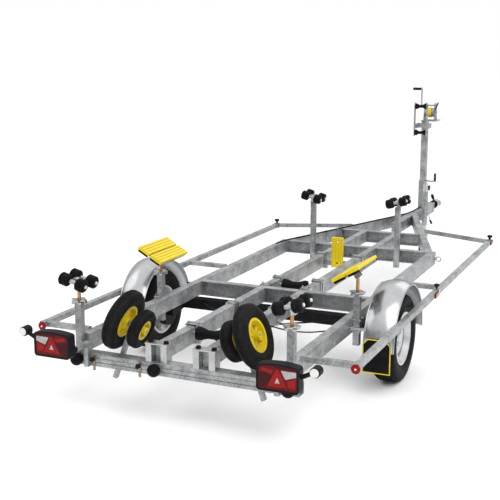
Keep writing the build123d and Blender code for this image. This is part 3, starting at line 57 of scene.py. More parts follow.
# Finishes: shades, metal share, gloss range, texture scales (per metre), bump, clear coat and shine.
FINISHES = {
    "galvanised": {
        "light": (0.56, 0.57, 0.575), "dark": (0.12, 0.127, 0.132), "metal": 0.55, "gloss": (0.34, 0.62),
        "cells": 70.0, "stain": 9.0, "grain": 240.0, "bump": 0.10, "coat": 0.0, "shine": 0.5},
    "zinc_plated": {
        "light": (0.56, 0.56, 0.55), "dark": (0.30, 0.31, 0.32), "metal": 0.90, "gloss": (0.18, 0.38),
        "cells": 160.0, "stain": 14.0, "grain": 420.0, "bump": 0.06, "coat": 0.0, "shine": 0.5},
    "bright_sheet": {
        "light": (0.50, 0.51, 0.52), "dark": (0.40, 0.41, 0.42), "metal": 0.97, "gloss": (0.20, 0.30),
        "cells": 24.0, "stain": 3.0, "grain": 300.0, "bump": 0.04, "coat": 0.0, "shine": 0.5},
    "silver_rim": {
        "light": (0.62, 0.63, 0.64), "dark": (0.48, 0.49, 0.50), "metal": 0.60, "gloss": (0.26, 0.42),
        "cells": 300.0, "stain": 12.0, "grain": 900.0, "bump": 0.03, "coat": 0.2, "shine": 0.5},
    "black_steel": {
        "light": (0.014, 0.014, 0.016), "dark": (0.004, 0.004, 0.005), "metal": 0.0, "gloss": (0.34, 0.6),
        "cells": 60.0, "stain": 16.0, "grain": 380.0, "bump": 0.12, "coat": 0.0, "shine": 0.08},
    "tyre": {
        "light": (0.022, 0.022, 0.023), "dark": (0.004, 0.004, 0.005), "metal": 0.0, "gloss": (0.42, 0.7),
        "cells": 90.0, "stain": 9.0, "grain": 700.0, "bump": 0.14, "coat": 0.0, "shine": 0.05},
    "black_rubber": {
        "light": (0.014, 0.014, 0.015), "dark": (0.003, 0.003, 0.004), "metal": 0.0, "gloss": (0.38, 0.64),
        "cells": 120.0, "stain": 18.0, "grain": 800.0, "bump": 0.12, "coat": 0.0, "shine": 0.05},
    "black_plastic": {
        "light": (0.009, 0.009, 0.011), "dark": (0.003, 0.003, 0.004), "metal": 0.0, "gloss": (0.24, 0.44),
        "cells": 500.0, "stain": 12.0, "grain": 1500.0, "bump": 0.10, "coat": 0.04, "shine": 0.10},
    "yellow_plastic": {
        "light": (0.86, 0.68, 0.008), "dark": (0.68, 0.50, 0.005), "metal": 0.0, "gloss": (0.26, 0.46),
        "cells": 200.0, "stain": 11.0, "grain": 900.0, "bump": 0.05, "coat": 0.12, "shine": 0.35},
    "yellow_strap": {
        "light": (0.86, 0.60, 0.015), "dark": (0.58, 0.38, 0.010), "metal": 0.0, "gloss": (0.6, 0.85),
        "cells": 900.0, "stain": 30.0, "grain": 1400.0, "bump": 0.35, "coat": 0.0, "shine": 0.25},
    "copper_screw": {
        "light": (0.52, 0.24, 0.11), "dark": (0.26, 0.11, 0.05), "metal": 0.85, "gloss": (0.25, 0.45),
        "cells": 200.0, "stain": 40.0, "grain": 600.0, "bump": 0.10, "coat": 0.0, "shine": 0.5},
    "red_lens": {
        "light": (0.15, 0.002, 0.003), "dark": (0.07, 0.001, 0.002), "metal": 0.0, "gloss": (0.08, 0.2),
        "cells": 260.0, "stain": 20.0, "grain": 500.0, "bump": 0.20, "coat": 0.05, "shine": 0.15},
    "bright_red": {
        "light": (0.36, 0.006, 0.006), "dark": (0.20, 0.003, 0.004), "metal": 0.0, "gloss": (0.08, 0.2),
        "cells": 320.0, "stain": 20.0, "grain": 500.0, "bump": 0.30, "coat": 0.05, "shine": 0.15},
    "dark_red": {
        "light": (0.06, 0.002, 0.003), "dark": (0.025, 0.001, 0.002), "metal": 0.0, "gloss": (0.08, 0.2),
        "cells": 260.0, "stain": 20.0, "grain": 500.0, "bump": 0.20, "coat": 0.05, "shine": 0.15},
    "clear_lens": {
        "light": (0.50, 0.50, 0.48), "dark": (0.24, 0.24, 0.23), "metal": 0.2, "gloss": (0.06, 0.2),
        "cells": 220.0, "stain": 30.0, "grain": 500.0, "bump": 0.25, "coat": 0.3, "shine": 0.4},
    "white_lens": {
        "light": (0.86, 0.85, 0.79), "dark": (0.66, 0.65, 0.59), "metal": 0.0, "gloss": (0.12, 0.28),
        "cells": 260.0, "stain": 30.0, "grain": 600.0, "bump": 0.15, "coat": 0.3, "shine": 0.4},
    "amber_lens": {
        "light": (0.56, 0.12, 0.005), "dark": (0.34, 0.06, 0.003), "metal": 0.0, "gloss": (0.08, 0.2),
        "cells": 320.0, "stain": 20.0, "grain": 500.0, "bump": 0.25, "coat": 0.05, "shine": 0.15},
    "brass": {
        "light": (0.40, 0.32, 0.25), "dark": (0.18, 0.13, 0.09), "metal": 0.85, "gloss": (0.25, 0.5),
        "cells": 200.0, "stain": 40.0, "grain": 600.0, "bump": 0.10, "coat": 0.0, "shine": 0.5},
}
COAT_ROUGHNESS = 0.08
STAIN_DETAIL = 6.0
STAIN_SPREAD = (-0.35, 0.85)
GRAIN_DETAIL = 3.0
CELL_SHARE = 0.45
SHARP_ANGLE = math.radians(32.0)
# Sockets of a colour mix node.
MIX_FACTOR = 0
MIX_FIRST = 6
MIX_SECOND = 7
MIX_RESULT = 2


def texture(tree, kind, where, scale):
    """Texture node on object coordinates."""
    node = tree.nodes.new(kind)
    node.inputs["Scale"].default_value = scale
    tree.links.new(where, node.inputs["Vector"])
    return node


def scaled(tree, value, low, high):
    """Spreads a 0..1 value over a range."""
    node = tree.nodes.new("ShaderNodeMapRange")
    node.inputs["To Min"].default_value = low
    node.inputs["To Max"].default_value = high
    tree.links.new(value, node.inputs["Value"])
    return node.outputs["Result"]


def maths(tree, operation, *values):
    """Result of an operation on sockets and plain numbers."""
    node = tree.nodes.new("ShaderNodeMath")
    node.operation = operation
    for socket, value in zip(node.inputs, values):
        if isinstance(value, float):
            socket.default_value = value
        else:
            tree.links.new(value, socket)
    return node.outputs["Value"]


def mixed(tree, factor, first, second):
    """Colour between two colours, each a socket or a plain shade."""
    node = tree.nodes.new("ShaderNodeMix")
    node.data_type = "RGBA"
    for socket, colour in ((MIX_FIRST, first), (MIX_SECOND, second)):
        if isinstance(colour, tuple):
            node.inputs[socket].default_value = (*colour, 1.0)
        else:
            tree.links.new(colour, node.inputs[socket])
    tree.links.new(factor, node.inputs[MIX_FACTOR])
    return node.outputs[MIX_RESULT]


def surface(name, row, split=None):
    """Finish from one row; split = (axis, limit, row) gives the side below the limit another row's look."""
    mat = bpy.data.materials.new(name)
    mat.use_nodes = True
    tree = mat.node_tree
    link = tree.links.new
    shader = tree.nodes["Principled BSDF"]
    shader.inputs["Metallic"].default_value = row["metal"]
    shader.inputs["Coat Weight"].default_value = row["coat"]
    shader.inputs["Specular IOR Level"].default_value = row["shine"]
    shader.inputs["Coat Roughness"].default_value = COAT_ROUGHNESS
    where = tree.nodes.new("ShaderNodeTexCoord").outputs["Object"]
    stain = texture(tree, "ShaderNodeTexNoise", where, row["stain"])
    stain.inputs["Detail"].default_value = STAIN_DETAIL
    cells = texture(tree, "ShaderNodeTexVoronoi", where, row["cells"])
    grain = texture(tree, "ShaderNodeTexNoise", where, row["grain"])
    grain.inputs["Detail"].default_value = GRAIN_DETAIL
    stained = scaled(tree, stain.outputs["Fac"], *STAIN_SPREAD)
    shade = maths(tree, "MULTIPLY_ADD", cells.outputs["Color"], CELL_SHARE, stained)
    colour = mixed(tree, shade, row["dark"], row["light"])
    if split:
        axis, limit, other = split
        parts = tree.nodes.new("ShaderNodeSeparateXYZ")
        link(where, parts.inputs["Vector"])
        below = maths(tree, "LESS_THAN", parts.outputs[axis], limit)
        colour = mixed(tree, below, colour, other["light"])
        for socket, key in (("Metallic", "metal"), ("Specular IOR Level", "shine")):
            link(scaled(tree, below, row[key], other[key]), shader.inputs[socket])
    link(colour, shader.inputs["Base Color"])
    link(scaled(tree, stain.outputs["Fac"], *row["gloss"]), shader.inputs["Roughness"])
    bump = tree.nodes.new("ShaderNodeBump")
    bump.inputs["Strength"].default_value = row["bump"]
    bump.inputs["Distance"].default_value = MM
    link(grain.outputs["Fac"], bump.inputs["Height"])
    link(bump.outputs["Normal"], shader.inputs["Normal"])
    return mat


finishes = {name: surface(name, row) for name, row in FINISHES.items()}
# Nodes with two finishes: finish, axis, limit (metres) and the finish on the side below the limit.
TWO_FINISHES = {
    "winch_crank": ("zinc_plated", "X", -0.0765, "black_plastic"),
    "jockey_tube": ("black_plastic", "Z", 0.817, "zinc_plated"),
    "lamp_housings": ("galvanised", "Y", -3.262, "black_plastic"),
}
for side in SIDES:
    TWO_FINISHES[f"spindle_rear_{side}"] = ("zinc_plated", "Z", 0.803, "copper_screw")
    TWO_FINISHES[f"spindle_bunk_{side}"] = ("zinc_plated", "Z", 0.743, "copper_screw")
for name, (upper, axis, limit, lower) in TWO_FINISHES.items():
    finishes[name] = surface(f"{name}_finish", FINISHES[upper], (axis, limit, FINISHES[lower]))
for sub in frame["record"]["subparts"]:
    mesh = cad[sub["node"]].data
    mesh.materials.clear()
    mesh.materials.append(finishes.get(sub["node"], finishes[sub["material_slot"]]))
    mesh.shade_smooth()
    mesh.set_sharp_from_angle(angle=SHARP_ANGLE)

# Shapes: each is a pair of vertices (metres) and faces.


def around(x, r, turn):
    """Point about the X axis, in millimetres."""
    return Vector((x, r * math.cos(turn), r * math.sin(turn))) * MM


def lathe(profile, steps):
    """Turned about X from (x, radius) points in millimetres."""
    verts = []
    faces = []
    rings = []
    for x, r in profile:
        count = steps if r > 0.0 else 1
        rings.append(range(len(verts), len(verts) + count))
        verts += [around(x, r, FULL_TURN * i / steps) for i in range(count)]
    for a, b in zip(rings, rings[1:]):
        for i in range(max(len(a), len(b))):
            j = (i + 1) % max(len(a), len(b))
            corners = [a[i % len(a)], a[j % len(a)], b[j % len(b)], b[i % len(b)]]
            faces.append(list(dict.fromkeys(corners)))
    return verts, [face for face in faces if len(face) > 2]


def rect(half_x, half_y):
    """Outline of a rectangle about the origin."""
    return [(-half_x, -half_y), (half_x, -half_y), (half_x, half_y), (-half_x, half_y)]


def inset(outline, depth):
    """Outline (counter-clockwise) moved inwards by a depth."""
    count = len(outline)
    result = []
    for i in range(count):
        here = Vector(outline[i])
        to_here = (here - Vector(outline[i - 1])).normalized()
        onward = (Vector(outline[(i + 1) % count]) - here).normalized()
        normal = Vector((-to_here.y - onward.y, to_here.x + onward.x))
        reach = 1.0 + to_here.dot(onward)
        result.append(tuple(here + normal * depth / reach))
    return result


def slab(outline, depth, edge):
    """Plate with chamfered rims, from an XY outline in millimetres, drawn up along Z."""
    small = inset(outline, edge)
    rings = [(small, 0.0), (outline, edge), (outline, depth - edge), (small, depth)]
    count = len(outline)
    verts = [Vector((x, y, z)) * MM for ring, z in rings for x, y in ring]
    faces = [list(range(count)), list(range(3 * count, 4 * count))]
    for k in range(3):
        for i in range(count):
            j = (i + 1) % count
            faces.append([k * count + i, k * count + j, (k + 1) * count + j, (k + 1) * count + i])
    return verts, faces


def torus_faces(steps, sides):
    """Faces of a closed tube whose rings of points follow each other in a closed round."""
    faces = []
    for i in range(steps):
        for k in range(sides):
            j = (i + 1) % steps
            m = (k + 1) % sides
            faces.append([i * sides + k, i * sides + m, j * sides + m, j * sides + k])
    return faces


def frame_strip(outline, width, rise):
    """Flat strip that follows an outline inside its edge."""
    small = inset(outline, width)
    rings = [(outline, 0.0), (outline, rise), (small, rise), (small, 0.0)]
    verts = [Vector((x, y, z)) * MM for ring, z in rings for x, y in ring]
    return verts, torus_faces(len(rings), len(outline))


def ring(radius, thick, steps, sides):
    """Round ring about X."""
    verts = []
    for i in range(steps):
        for k in range(sides):
            lean = FULL_TURN * k / sides
            r = radius + thick * math.cos(lean)
            verts.append(around(thick * math.sin(lean), r, FULL_TURN * i / steps))
    return verts, torus_faces(steps, sides)


def moved(shape, matrix):
    """Shape in another place."""
    return [matrix @ v for v in shape[0]], shape[1]


def at(x, y, z):
    """Place in millimetres."""
    return Matrix.Translation(Vector((x, y, z)) * MM)


def facing(direction):
    """Turn that takes the X axis to a direction."""
    return Vector(RIGHT).rotation_difference(Vector(direction)).to_matrix().to_4x4()


def rearward(s=1.0):
    """Frame with X to a side, Y up and Z to the rear."""
    return Matrix(((s, 0, 0, 0), (0, 0, -1, 0), (0, 1, 0, 0), (0, 0, 0, 1)))


def outwards(s):
    """Frame with X forward, Y up and Z to a side."""
    return Matrix(((0, 0, s, 0), (1, 0, 0, 0), (0, 1, 0, 0), (0, 0, 0, 1)))


def hinge_place(name):
    """Place of a joint, with X along its axis."""
    row = joints[name]
    return Matrix.Translation(row["pos_m"]) @ facing(row["axis"])


# Pieces that ride on a body.
WIRE_BEVEL = 4
WIRE_STEPS = 8


def seat(name, data, finish, body):
    """Object from a mesh or curve, on its body."""
    data.materials.append(finishes[finish])
    obj = bpy.data.objects.new(name, data)
    bpy.context.scene.collection.objects.link(obj)
    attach(obj, body)
    return obj


def add(name, shapes, finish, body=ROOT):
    """One piece from several shapes."""
    mesh = bpy.data.meshes.new(name)
    verts = []
    faces = []
    for shape_verts, shape_faces in shapes:
        faces += [[i + len(verts) for i in face] for face in shape_faces]
        verts += [tuple(v) for v in shape_verts]
    mesh.from_pydata(verts, [], faces)
    shell = bmesh.new()
    shell.from_mesh(mesh)
    bmesh.ops.recalc_face_normals(shell, faces=shell.faces)
    shell.to_mesh(mesh)
    shell.free()
    mesh.shade_smooth()
    mesh.set_sharp_from_angle(angle=SHARP_ANGLE)
    return seat(name, mesh, finish, body)


def wire(name, points, radius, finish, body=ROOT):
    """Round bar or cable on one smooth spline with a route of points in millimetres."""
    curve = bpy.data.curves.new(name, "CURVE")
    curve.dimensions = "3D"
    curve.bevel_depth = radius * MM
    curve.bevel_resolution = WIRE_BEVEL
    curve.resolution_u = WIRE_STEPS
    curve.use_fill_caps = True
    spline = curve.splines.new("NURBS")
    spline.points.add(len(points) - 1)
    for point, place in zip(spline.points, points):
        point.co = (*(Vector(place) * MM), 1.0)
    spline.use_endpoint_u = True
    spline.order_u = 3
    return seat(name, curve, finish, body)


# Nuts and bolts: thread radius, head height and how far the thread stands out of the head.
BOLTS = {
    "rocker": (6.0, 6.0, 4.0),
    "clamp": (6.0, 8.0, 0.0),
    "yoke": (9.0, 11.0, 0.0),
    "band": (6.0, 8.0, 10.0),
    "shaft": (6.0, 8.0, 0.0),
    "post": (5.0, 6.0, 0.0),
    "eye": (8.0, 6.0, 6.0),
}
# Shares of the thread's radius, the head's height and the thread's end.
WASHER_T = 0.3
WASHER_R = 1.9
HEAD_R = 1.7
HEAD_TOP_R = 1.45
HEAD_EDGE = 0.85
END_EDGE = 0.8
END_TIP_R = 0.75
WASHER_STEPS = 24
HEAD_STEPS = 6
END_STEPS = 16


def bolted(kind, where):
    """Hexagon head on a washer, along X of a place."""
    size, height, shank = BOLTS[kind]
    base = WASHER_T * size
    top = base + height
    washer = [(0.0, 0.0), (0.0, WASHER_R * size), (base, WASHER_R * size), (base, 0.0)]
    shapes = [lathe(washer, WASHER_STEPS)]
    head = [(base, 0.0), (base, HEAD_R * size), (HEAD_EDGE * top, HEAD_R * size), (top, HEAD_TOP_R * size)]
    shapes.append(lathe(head + [(top, 0.0)], HEAD_STEPS))
    if shank > 0.0:
        tip = top + shank
        end = [(top, size), (top + END_EDGE * shank, size), (tip, END_TIP_R * size), (tip, 0.0)]
        shapes.append(lathe(end, END_STEPS))
    return [moved(shape, where) for shape in shapes]


# Tyres with tread. A row has the sizes in millimetres and the number of tread blocks.
ROAD_TYRE = {
    "bead_r": 172.0, "bead_w": 127.4, "bead_h": 12.0, "outer_r": 298.0, "width": 170.0, "crown_w": 104.0,
    "shoulder": 22.0, "grooves": (-34.0, -12.0, 12.0, 34.0), "groove_w": 8.0, "groove_d": 7.0,
    "blocks": 66, "cut_d": 6.0}
SLIP_TYRES = {
    "big": {
        "bead_r": 98.0, "bead_w": 54.0, "bead_h": 8.0, "outer_r": 195.0, "width": 90.0, "crown_w": 27.0,
        "shoulder": 24.25, "grooves": (-9.0, 0.0, 9.0), "groove_w": 4.0, "groove_d": 3.0,
        "blocks": 40, "cut_d": 0.0},
    "small": {
        "bead_r": 58.0, "bead_w": 45.6, "bead_h": 8.0, "outer_r": 125.0, "width": 76.0, "crown_w": 22.8,
        "shoulder": 16.75, "grooves": (-7.5, 0.0, 7.5), "groove_w": 3.5, "groove_d": 2.5,
        "blocks": 32, "cut_d": 0.0},
}
WALL_STEPS = 14
WALL_RIBS = (4, 5, 11)
WALL_RIB_D = 1.2
SHOULDER_STEPS = 6
GROOVE_SLOPE = 0.2
# Steps along a tread block as shares of its length, the first one in its cut, and the cut's slant (rad/mm).
BLOCK_SHARES = (0.0, 0.74, 0.79, 0.95)
FIRST_CUT = 2
CUT_SLANT = 0.0012


def arc(start, through, end, count):
    """Points on the circle through three points, without the first."""
    ax, ay = start
    bx, by = through
    cx, cy = end
    a = ax * ax + ay * ay
    b = bx * bx + by * by
    c = cx * cx + cy * cy
    d = 2.0 * (ax * (by - cy) + bx * (cy - ay) + cx * (ay - by))
    ux = (a * (by - cy) + b * (cy - ay) + c * (ay - by)) / d
    uy = (a * (cx - bx) + b * (ax - cx) + c * (bx - ax)) / d
    r = math.hypot(ax - ux, ay - uy)
    first = math.atan2(ay - uy, ax - ux)
    last = math.atan2(cy - uy, cx - ux)
    sweep = (last - first + math.pi) % FULL_TURN - math.pi
    turns = [first + sweep * (i + 1) / count for i in range(count)]
    return [(ux + r * math.cos(t), uy + r * math.sin(t)) for t in turns]


def tyre_profile(row):
    """Section of a tyre: (x, radius, share of the cross cuts), from the left bead to the right one."""
    half = row["width"] / 2.0
    bead = row["bead_w"] / 2.0
    crown = row["crown_w"] / 2.0
    outer = row["outer_r"]
    drop = row["shoulder"]
    wall_top = (half - drop / 4.0, outer - drop)
    edge = ((half + crown) / 2.0, outer - drop / 3.0)
    wall = [(bead, row["bead_r"]), (bead, row["bead_r"] + row["bead_h"])]
    wall += arc(wall[-1], (half, (row["bead_r"] + outer) / 2.0), wall_top, WALL_STEPS)
    flank = [(x - (WALL_RIB_D if i in WALL_RIBS else 0.0), r, 0.0) for i, (x, r) in enumerate(wall)]
    flank += [(x, r, 1.0) for x, r in arc(wall_top, edge, (crown, outer), SHOULDER_STEPS)]
    profile = [(-x, r, cut) for x, r, cut in flank]
    wide = row["groove_w"] / 2.0
    floor_half = wide - GROOVE_SLOPE
    for centre in row["grooves"]:
        for x, low in ((-wide, 0.0), (-floor_half, 1.0), (floor_half, 1.0), (wide, 0.0)):
            profile.append((centre + x, outer - low * row["groove_d"], 0.0))
    return profile + flank[::-1]


def tyre(row):
    """Tyre turned about X with grooves round the crown, and cross cuts in its shoulders."""
    profile = tyre_profile(row)
    verts = []
    for block in range(row["blocks"]):
        for k, share in enumerate(BLOCK_SHARES):
            turn = FULL_TURN * (block + share) / row["blocks"]
            depth = row["cut_d"] if k >= FIRST_CUT else 0.0
            for x, r, cut in profile:
                verts.append(around(x, r - depth * cut, turn + CUT_SLANT * abs(x) * cut))
    return verts, torus_faces(row["blocks"] * len(BLOCK_SHARES), len(profile))


for side in SIDES:
    place = hinge_place(f"wheel_{side}_turn")
    piece = add(f"road_tyre_{side}", [moved(tyre(ROAD_TYRE), place)], "tyre", f"wheel_{side}")
    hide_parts(f"wheel_tyre_{side}")
    for size, row in SLIP_TYRES.items():
        body = f"slip_wheel_{side}_{size}"
        piece = add(f"{body}_tread", [moved(tyre(row), hinge_place(f"{body}_turn"))], "tyre", body)
        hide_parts(f"slip_tyre_{side}_{size}")

# Nylon caps on the ends of the roller axles, nuts on the rockers' pins and saddles that carry the pins.
ROLLER_END = 97.0
CAP = [(-6.6, 11.4), (-1.0, 11.4), (1.6, 8.0), (2.4, 0.0)]
CAP_STEPS = 28
ROCKER_SIDE = 22.0
SADDLE = rect(13.0, 19.0)
SADDLE_H = 48.0
SADDLE_EDGE = 2.0
SADDLE_DROP = 60.0
for end in ("rear", "front"):
    for side in SIDES:
        key = f"{end}_{side}"
        place = hinge_place(f"rocker_{key}_tilt")
        nuts = []
        for s in BOTH:
            nuts += bolted("rocker", place @ at(s * ROCKER_SIDE, 0, 0) @ facing((s, 0, 0)))
        add(f"rocker_nuts_{key}", nuts, "zinc_plated", f"rocker_{key}")
        saddle = moved(slab(SADDLE, SADDLE_H, SADDLE_EDGE), place @ at(0, 0, -SADDLE_DROP))
        add(f"saddle_{key}", [saddle], "zinc_plated", f"spindle_{key}" if end == "rear" else ROOT)
        for axle in ("aft", "fore"):
            body = f"rollers_{key}_{axle}"
            place = hinge_place(f"{body}_turn")
            caps = []
            for s in BOTH:
                where = place @ at(s * ROLLER_END, 0, 0) @ facing((s, 0, 0))
                caps.append(moved(lathe(CAP, CAP_STEPS), where))
            add(f"roller_caps_{key}_{axle}", caps, "white_lens", body)

# Nuts and bolts of the clamps on the centre rails, and of the yokes on the rear beam.
RAIL_TOP = 485.0
RAIL_MID = 430.0
RAIL_BOTTOM = 375.0
CENTRE_X = 160.0
CLAMP_YS = (-2625.0, -1185.0, -205.0)
CLAMP_PLATE_T = 8.0
CLAMP_ROD = 37.0
BEAM_Y = -3085.0
YOKE_BOLT = 52.0
clamp_bolts = []
yoke_bolts = []
for s in BOTH:
    for t in BOTH:
        x = s * CENTRE_X + t * CLAMP_ROD
        for y in CLAMP_YS:
            clamp_bolts += bolted("clamp", at(x, y, RAIL_TOP + CLAMP_PLATE_T) @ facing(UP))
            clamp_bolts += bolted("clamp", at(x, y, RAIL_BOTTOM - CLAMP_PLATE_T) @ facing(DOWN))
        head = at(s * CENTRE_X + t * YOKE_BOLT, BEAM_Y, RAIL_TOP + CLAMP_PLATE_T) @ facing(UP)
        yoke_bolts += bolted("yoke", head)
add("fixings_zinc_plated", clamp_bolts, "zinc_plated")
add("fixings_black_steel", yoke_bolts, "black_steel")

# Lamps: lenses with inner panels, two of them lighter red as painted highlights. X of an outline points outwards.
LAMP_X = 730.0
LAMP_Z = 485.0
LENS_Y = -3372.0
LENS_T = 9.5
LENS_EDGE = 1.0
LENS_RIM = [
    (-113.0, -68.0), (113.0, -68.0), (113.0, 46.0), (104.0, 56.0), (60.0, 64.0), (0.0, 67.5), (-60.0, 64.0),
    (-104.0, 56.0), (-113.0, 46.0)]
PANELS = [
    {"name": "triangle", "rise": 2.2, "finish": "bright_red",
     "outline": [(-58.0, -50.0), (58.0, -50.0), (4.0, 50.0), (-4.0, 50.0)]},
    {"name": "inner_dark", "rise": 0.9, "finish": "dark_red",
     "outline": [(-108.0, -60.0), (-68.0, -60.0), (-30.0, 14.0), (-108.0, 26.0)]},
    # Painted highlight: a lighter red streak on the lens's upper inner part.
    {"name": "painted_highlight_inner", "rise": 1.4, "finish": "bright_red",
     "outline": [(-98.0, 32.0), (-34.0, 20.0), (-24.0, 40.0), (-92.0, 50.0)]},
    {"name": "brow", "rise": 1.2, "finish": "dark_red",
     "outline": [(-20.0, 54.0), (92.0, 50.0), (80.0, 58.0), (-18.0, 62.0)]},
    {"name": "clear_corner", "rise": 1.6, "finish": "clear_lens",
     "outline": [(20.0, 44.0), (46.0, -4.0), (108.0, 16.0), (108.0, 44.0)]},
    # Painted highlight: a lighter red spot on the lens's lower outer part.
    {"name": "painted_highlight_outer", "rise": 1.4, "finish": "bright_red",
     "outline": [(62.0, -44.0), (104.0, -50.0), (106.0, 8.0), (54.0, -12.0)]},
    {"name": "clear_triangle", "rise": 3.0, "finish": "clear_lens",
     "outline": [(-15.0, -30.0), (15.0, -30.0), (1.0, 0.0), (-1.0, 0.0)]},
]
PANEL_SINK = 2.0
PANEL_EDGE = 0.6

# Marker lenses, red reflectors with a white eye and amber lenses, on the marker arms and guard tubes.
MARKER_X = 940.0
MARKER_Y = -3370.0
MARKER_Z = 540.0
MARKER_LENS = [(0.0, 25.0), (4.0, 24.5), (6.5, 20.0), (7.6, 10.0), (8.0, 0.0)]
MARKER_STEPS = 36
GUARD_X = 1055.0
GUARD_Z = 480.0
GUARD_REAR = -3015.0
GUARD_FRONT = 965.0
REFLECTOR_Z = 470.0
REFLECTOR = [(0.0, 0.0), (0.0, 28.0), (5.0, 28.0), (7.0, 25.0), (8.0, 15.0), (8.0, 9.0), (8.0, 0.0)]
REFLECTOR_STEPS = 40
REFLECTOR_EYE = [(7.9, 6.5), (9.4, 5.5), (9.9, 0.0)]
REFLECTOR_EYE_STEPS = 24
AMBER_X = 1075.0
AMBER_YS = (-1215.0, 905.0)
AMBER_BASE = [
    (-45.0, -12.0), (-38.0, -19.0), (38.0, -19.0), (45.0, -12.0), (45.0, 12.0), (38.0, 19.0), (-38.0, 19.0),
    (-45.0, 12.0)]
AMBER_T = 6.0
AMBER_BASE_EDGE = 1.0
AMBER_MARGIN = 4.0
AMBER_EDGE = 1.5
AMBER_LIFT = 5.8


def lens(name, shape, where, finish):
    """One lens piece."""
    return add(name, [moved(shape, where)], finish)


lens_pieces = []
for side, s in SIDES.items():
    front = at(s * LAMP_X, LENS_Y + LENS_T, LAMP_Z) @ rearward(s)
    lens_pieces.append(lens(f"lens_{side}", slab(LENS_RIM, LENS_T, LENS_EDGE), front, "red_lens"))
    for row in PANELS:
        shape = slab(row["outline"], row["rise"] + PANEL_SINK, PANEL_EDGE)
        where = front @ at(0, 0, LENS_T - PANEL_SINK)
        lens_pieces.append(lens(f"lens_{row['name']}_{side}", shape, where, row["finish"]))
    where = at(s * MARKER_X, MARKER_Y, MARKER_Z) @ facing(REARWARD)
    shape = lathe(MARKER_LENS, MARKER_STEPS)
    lens_pieces.append(lens(f"marker_lens_{side}", shape, where, "white_lens"))
    where = at(s * GUARD_X, GUARD_REAR, REFLECTOR_Z) @ facing(REARWARD)
    shape = lathe(REFLECTOR, REFLECTOR_STEPS)
    lens_pieces.append(lens(f"reflector_{side}", shape, where, "bright_red"))
    shape = lathe(REFLECTOR_EYE, REFLECTOR_EYE_STEPS)
    lens_pieces.append(lens(f"reflector_eye_{side}", shape, where, "white_lens"))
    for k, y in enumerate(AMBER_YS):
        where = at(s * AMBER_X, y, GUARD_Z) @ outwards(s)
        shape = slab(AMBER_BASE, AMBER_T, AMBER_BASE_EDGE)
        lens_pieces.append(lens(f"amber_base_{side}_{k}", shape, where, "black_plastic"))
        shape = slab(inset(AMBER_BASE, AMBER_MARGIN), AMBER_T, AMBER_EDGE)
        lens_pieces.append(lens(f"amber_{side}_{k}", shape, where @ at(0, 0, AMBER_LIFT), "amber_lens"))
for piece in lens_pieces:
    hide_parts("lamp_lenses")

# Yellow rims on the mud flaps.
WHEEL_X = 925.0
FLAP_REAR = -2181.0
FLAP_TOP = 393.0
FLAP = [(-95.0, -230.0), (95.0, -230.0), (95.0, -35.0), (60.0, 0.0), (-60.0, 0.0), (-95.0, -35.0)]
FLAP_MARGIN = 1.0
FLAP_RIM_W = 6.5
FLAP_RIM_T = 0.8
for side, s in SIDES.items():
    rim = frame_strip(inset(FLAP, FLAP_MARGIN), FLAP_RIM_W, FLAP_RIM_T)
    where = at(s * WHEEL_X, FLAP_REAR, FLAP_TOP) @ rearward()
    add(f"flap_rim_{side}", [moved(rim, where)], "yellow_plastic")

# Bands round the centre rails: at the clamps, and two more with bolts of their own.
BAND = rect(36.0, 61.0)
BAND_T = 5.7
BAND_L = 70.0
BAND_TOP = 491.0
BAND_BOLT = 18.0
BAND_YS = (-2040.0, -1445.0)
bands = []
for s in BOTH:
    for y in CLAMP_YS + BAND_YS:
        where = at(s * CENTRE_X, y + BAND_L / 2.0, RAIL_MID) @ rearward()
        bands.append(moved(frame_strip(BAND, BAND_T, BAND_L), where))
    for y in BAND_YS:
        for t in BOTH:
            head = at(s * CENTRE_X + t * BAND_BOLT, y + t * BAND_BOLT, BAND_TOP)
            bands += bolted("band", head @ facing(UP))
add("rail_bands", bands, "zinc_plated")

# Feet under the ends of the bunk boards.
BUNK_TILT = math.radians(30.0)
BOARD_AT = 53.5
BOARD_FOOT_Z = 39.0
FOOT = rect(40.0, 9.0)
FOOT_H = 16.0
FOOT_EDGE = 2.0
FOOT_GAP = 0.3
FOOT_Y = 190.5
for side, s in SIDES.items():
    pivot = Matrix.Translation(joints[f"bunk_{side}_tilt"]["pos_m"])
    place = pivot @ Matrix.Rotation(-s * BUNK_TILT, 4, "Y")
    feet = []
    for t in BOTH:
        for u in BOTH:
            where = place @ at(t * BOARD_AT, u * FOOT_Y, BOARD_FOOT_Z - FOOT_H - FOOT_GAP)
            feet.append(moved(slab(FOOT, FOOT_H, FOOT_EDGE), where))
    add(f"bunk_feet_{side}", feet, "black_rubber", f"bunk_{side}")

# Winch: strap wound on the drum.
STRAP_CORE_R = 40.2
STRAP_HALF = 26.0
STRAP_MID_X = 23.0
STRAP_T = 2.0
STRAP_PITCH = 2.1
STRAP_TURNS = 5
STRAP_STEPS = 60


def wound_strap():
    """Strap in a spiral about X, from the drum's core outwards, with four corners at each step."""
    total = STRAP_TURNS * STRAP_STEPS
    verts = []
    for i in range(total + 1):
        low = STRAP_CORE_R + STRAP_PITCH * i / STRAP_STEPS
        for r in (low, low + STRAP_T):
            for x in (-STRAP_HALF, STRAP_HALF):
                verts.append(around(x, r, FULL_TURN * i / STRAP_STEPS))
    corners = (0, 1, 3, 2)
    faces = [list(corners[::-1]), [4 * total + k for k in corners]]
    for i in range(total):
        for k, m in zip(corners, corners[1:] + corners[:1]):
            faces.append([4 * i + k, 4 * i + m, 4 * i + 4 + m, 4 * i + 4 + k])
    return verts, faces


drum_place = Matrix.Translation(joints["winch_drum_turn"]["pos_m"])
drum_place.translation.x = STRAP_MID_X * MM
add("winch_strap", [moved(wound_strap(), drum_place)], "yellow_strap", "winch_drum")

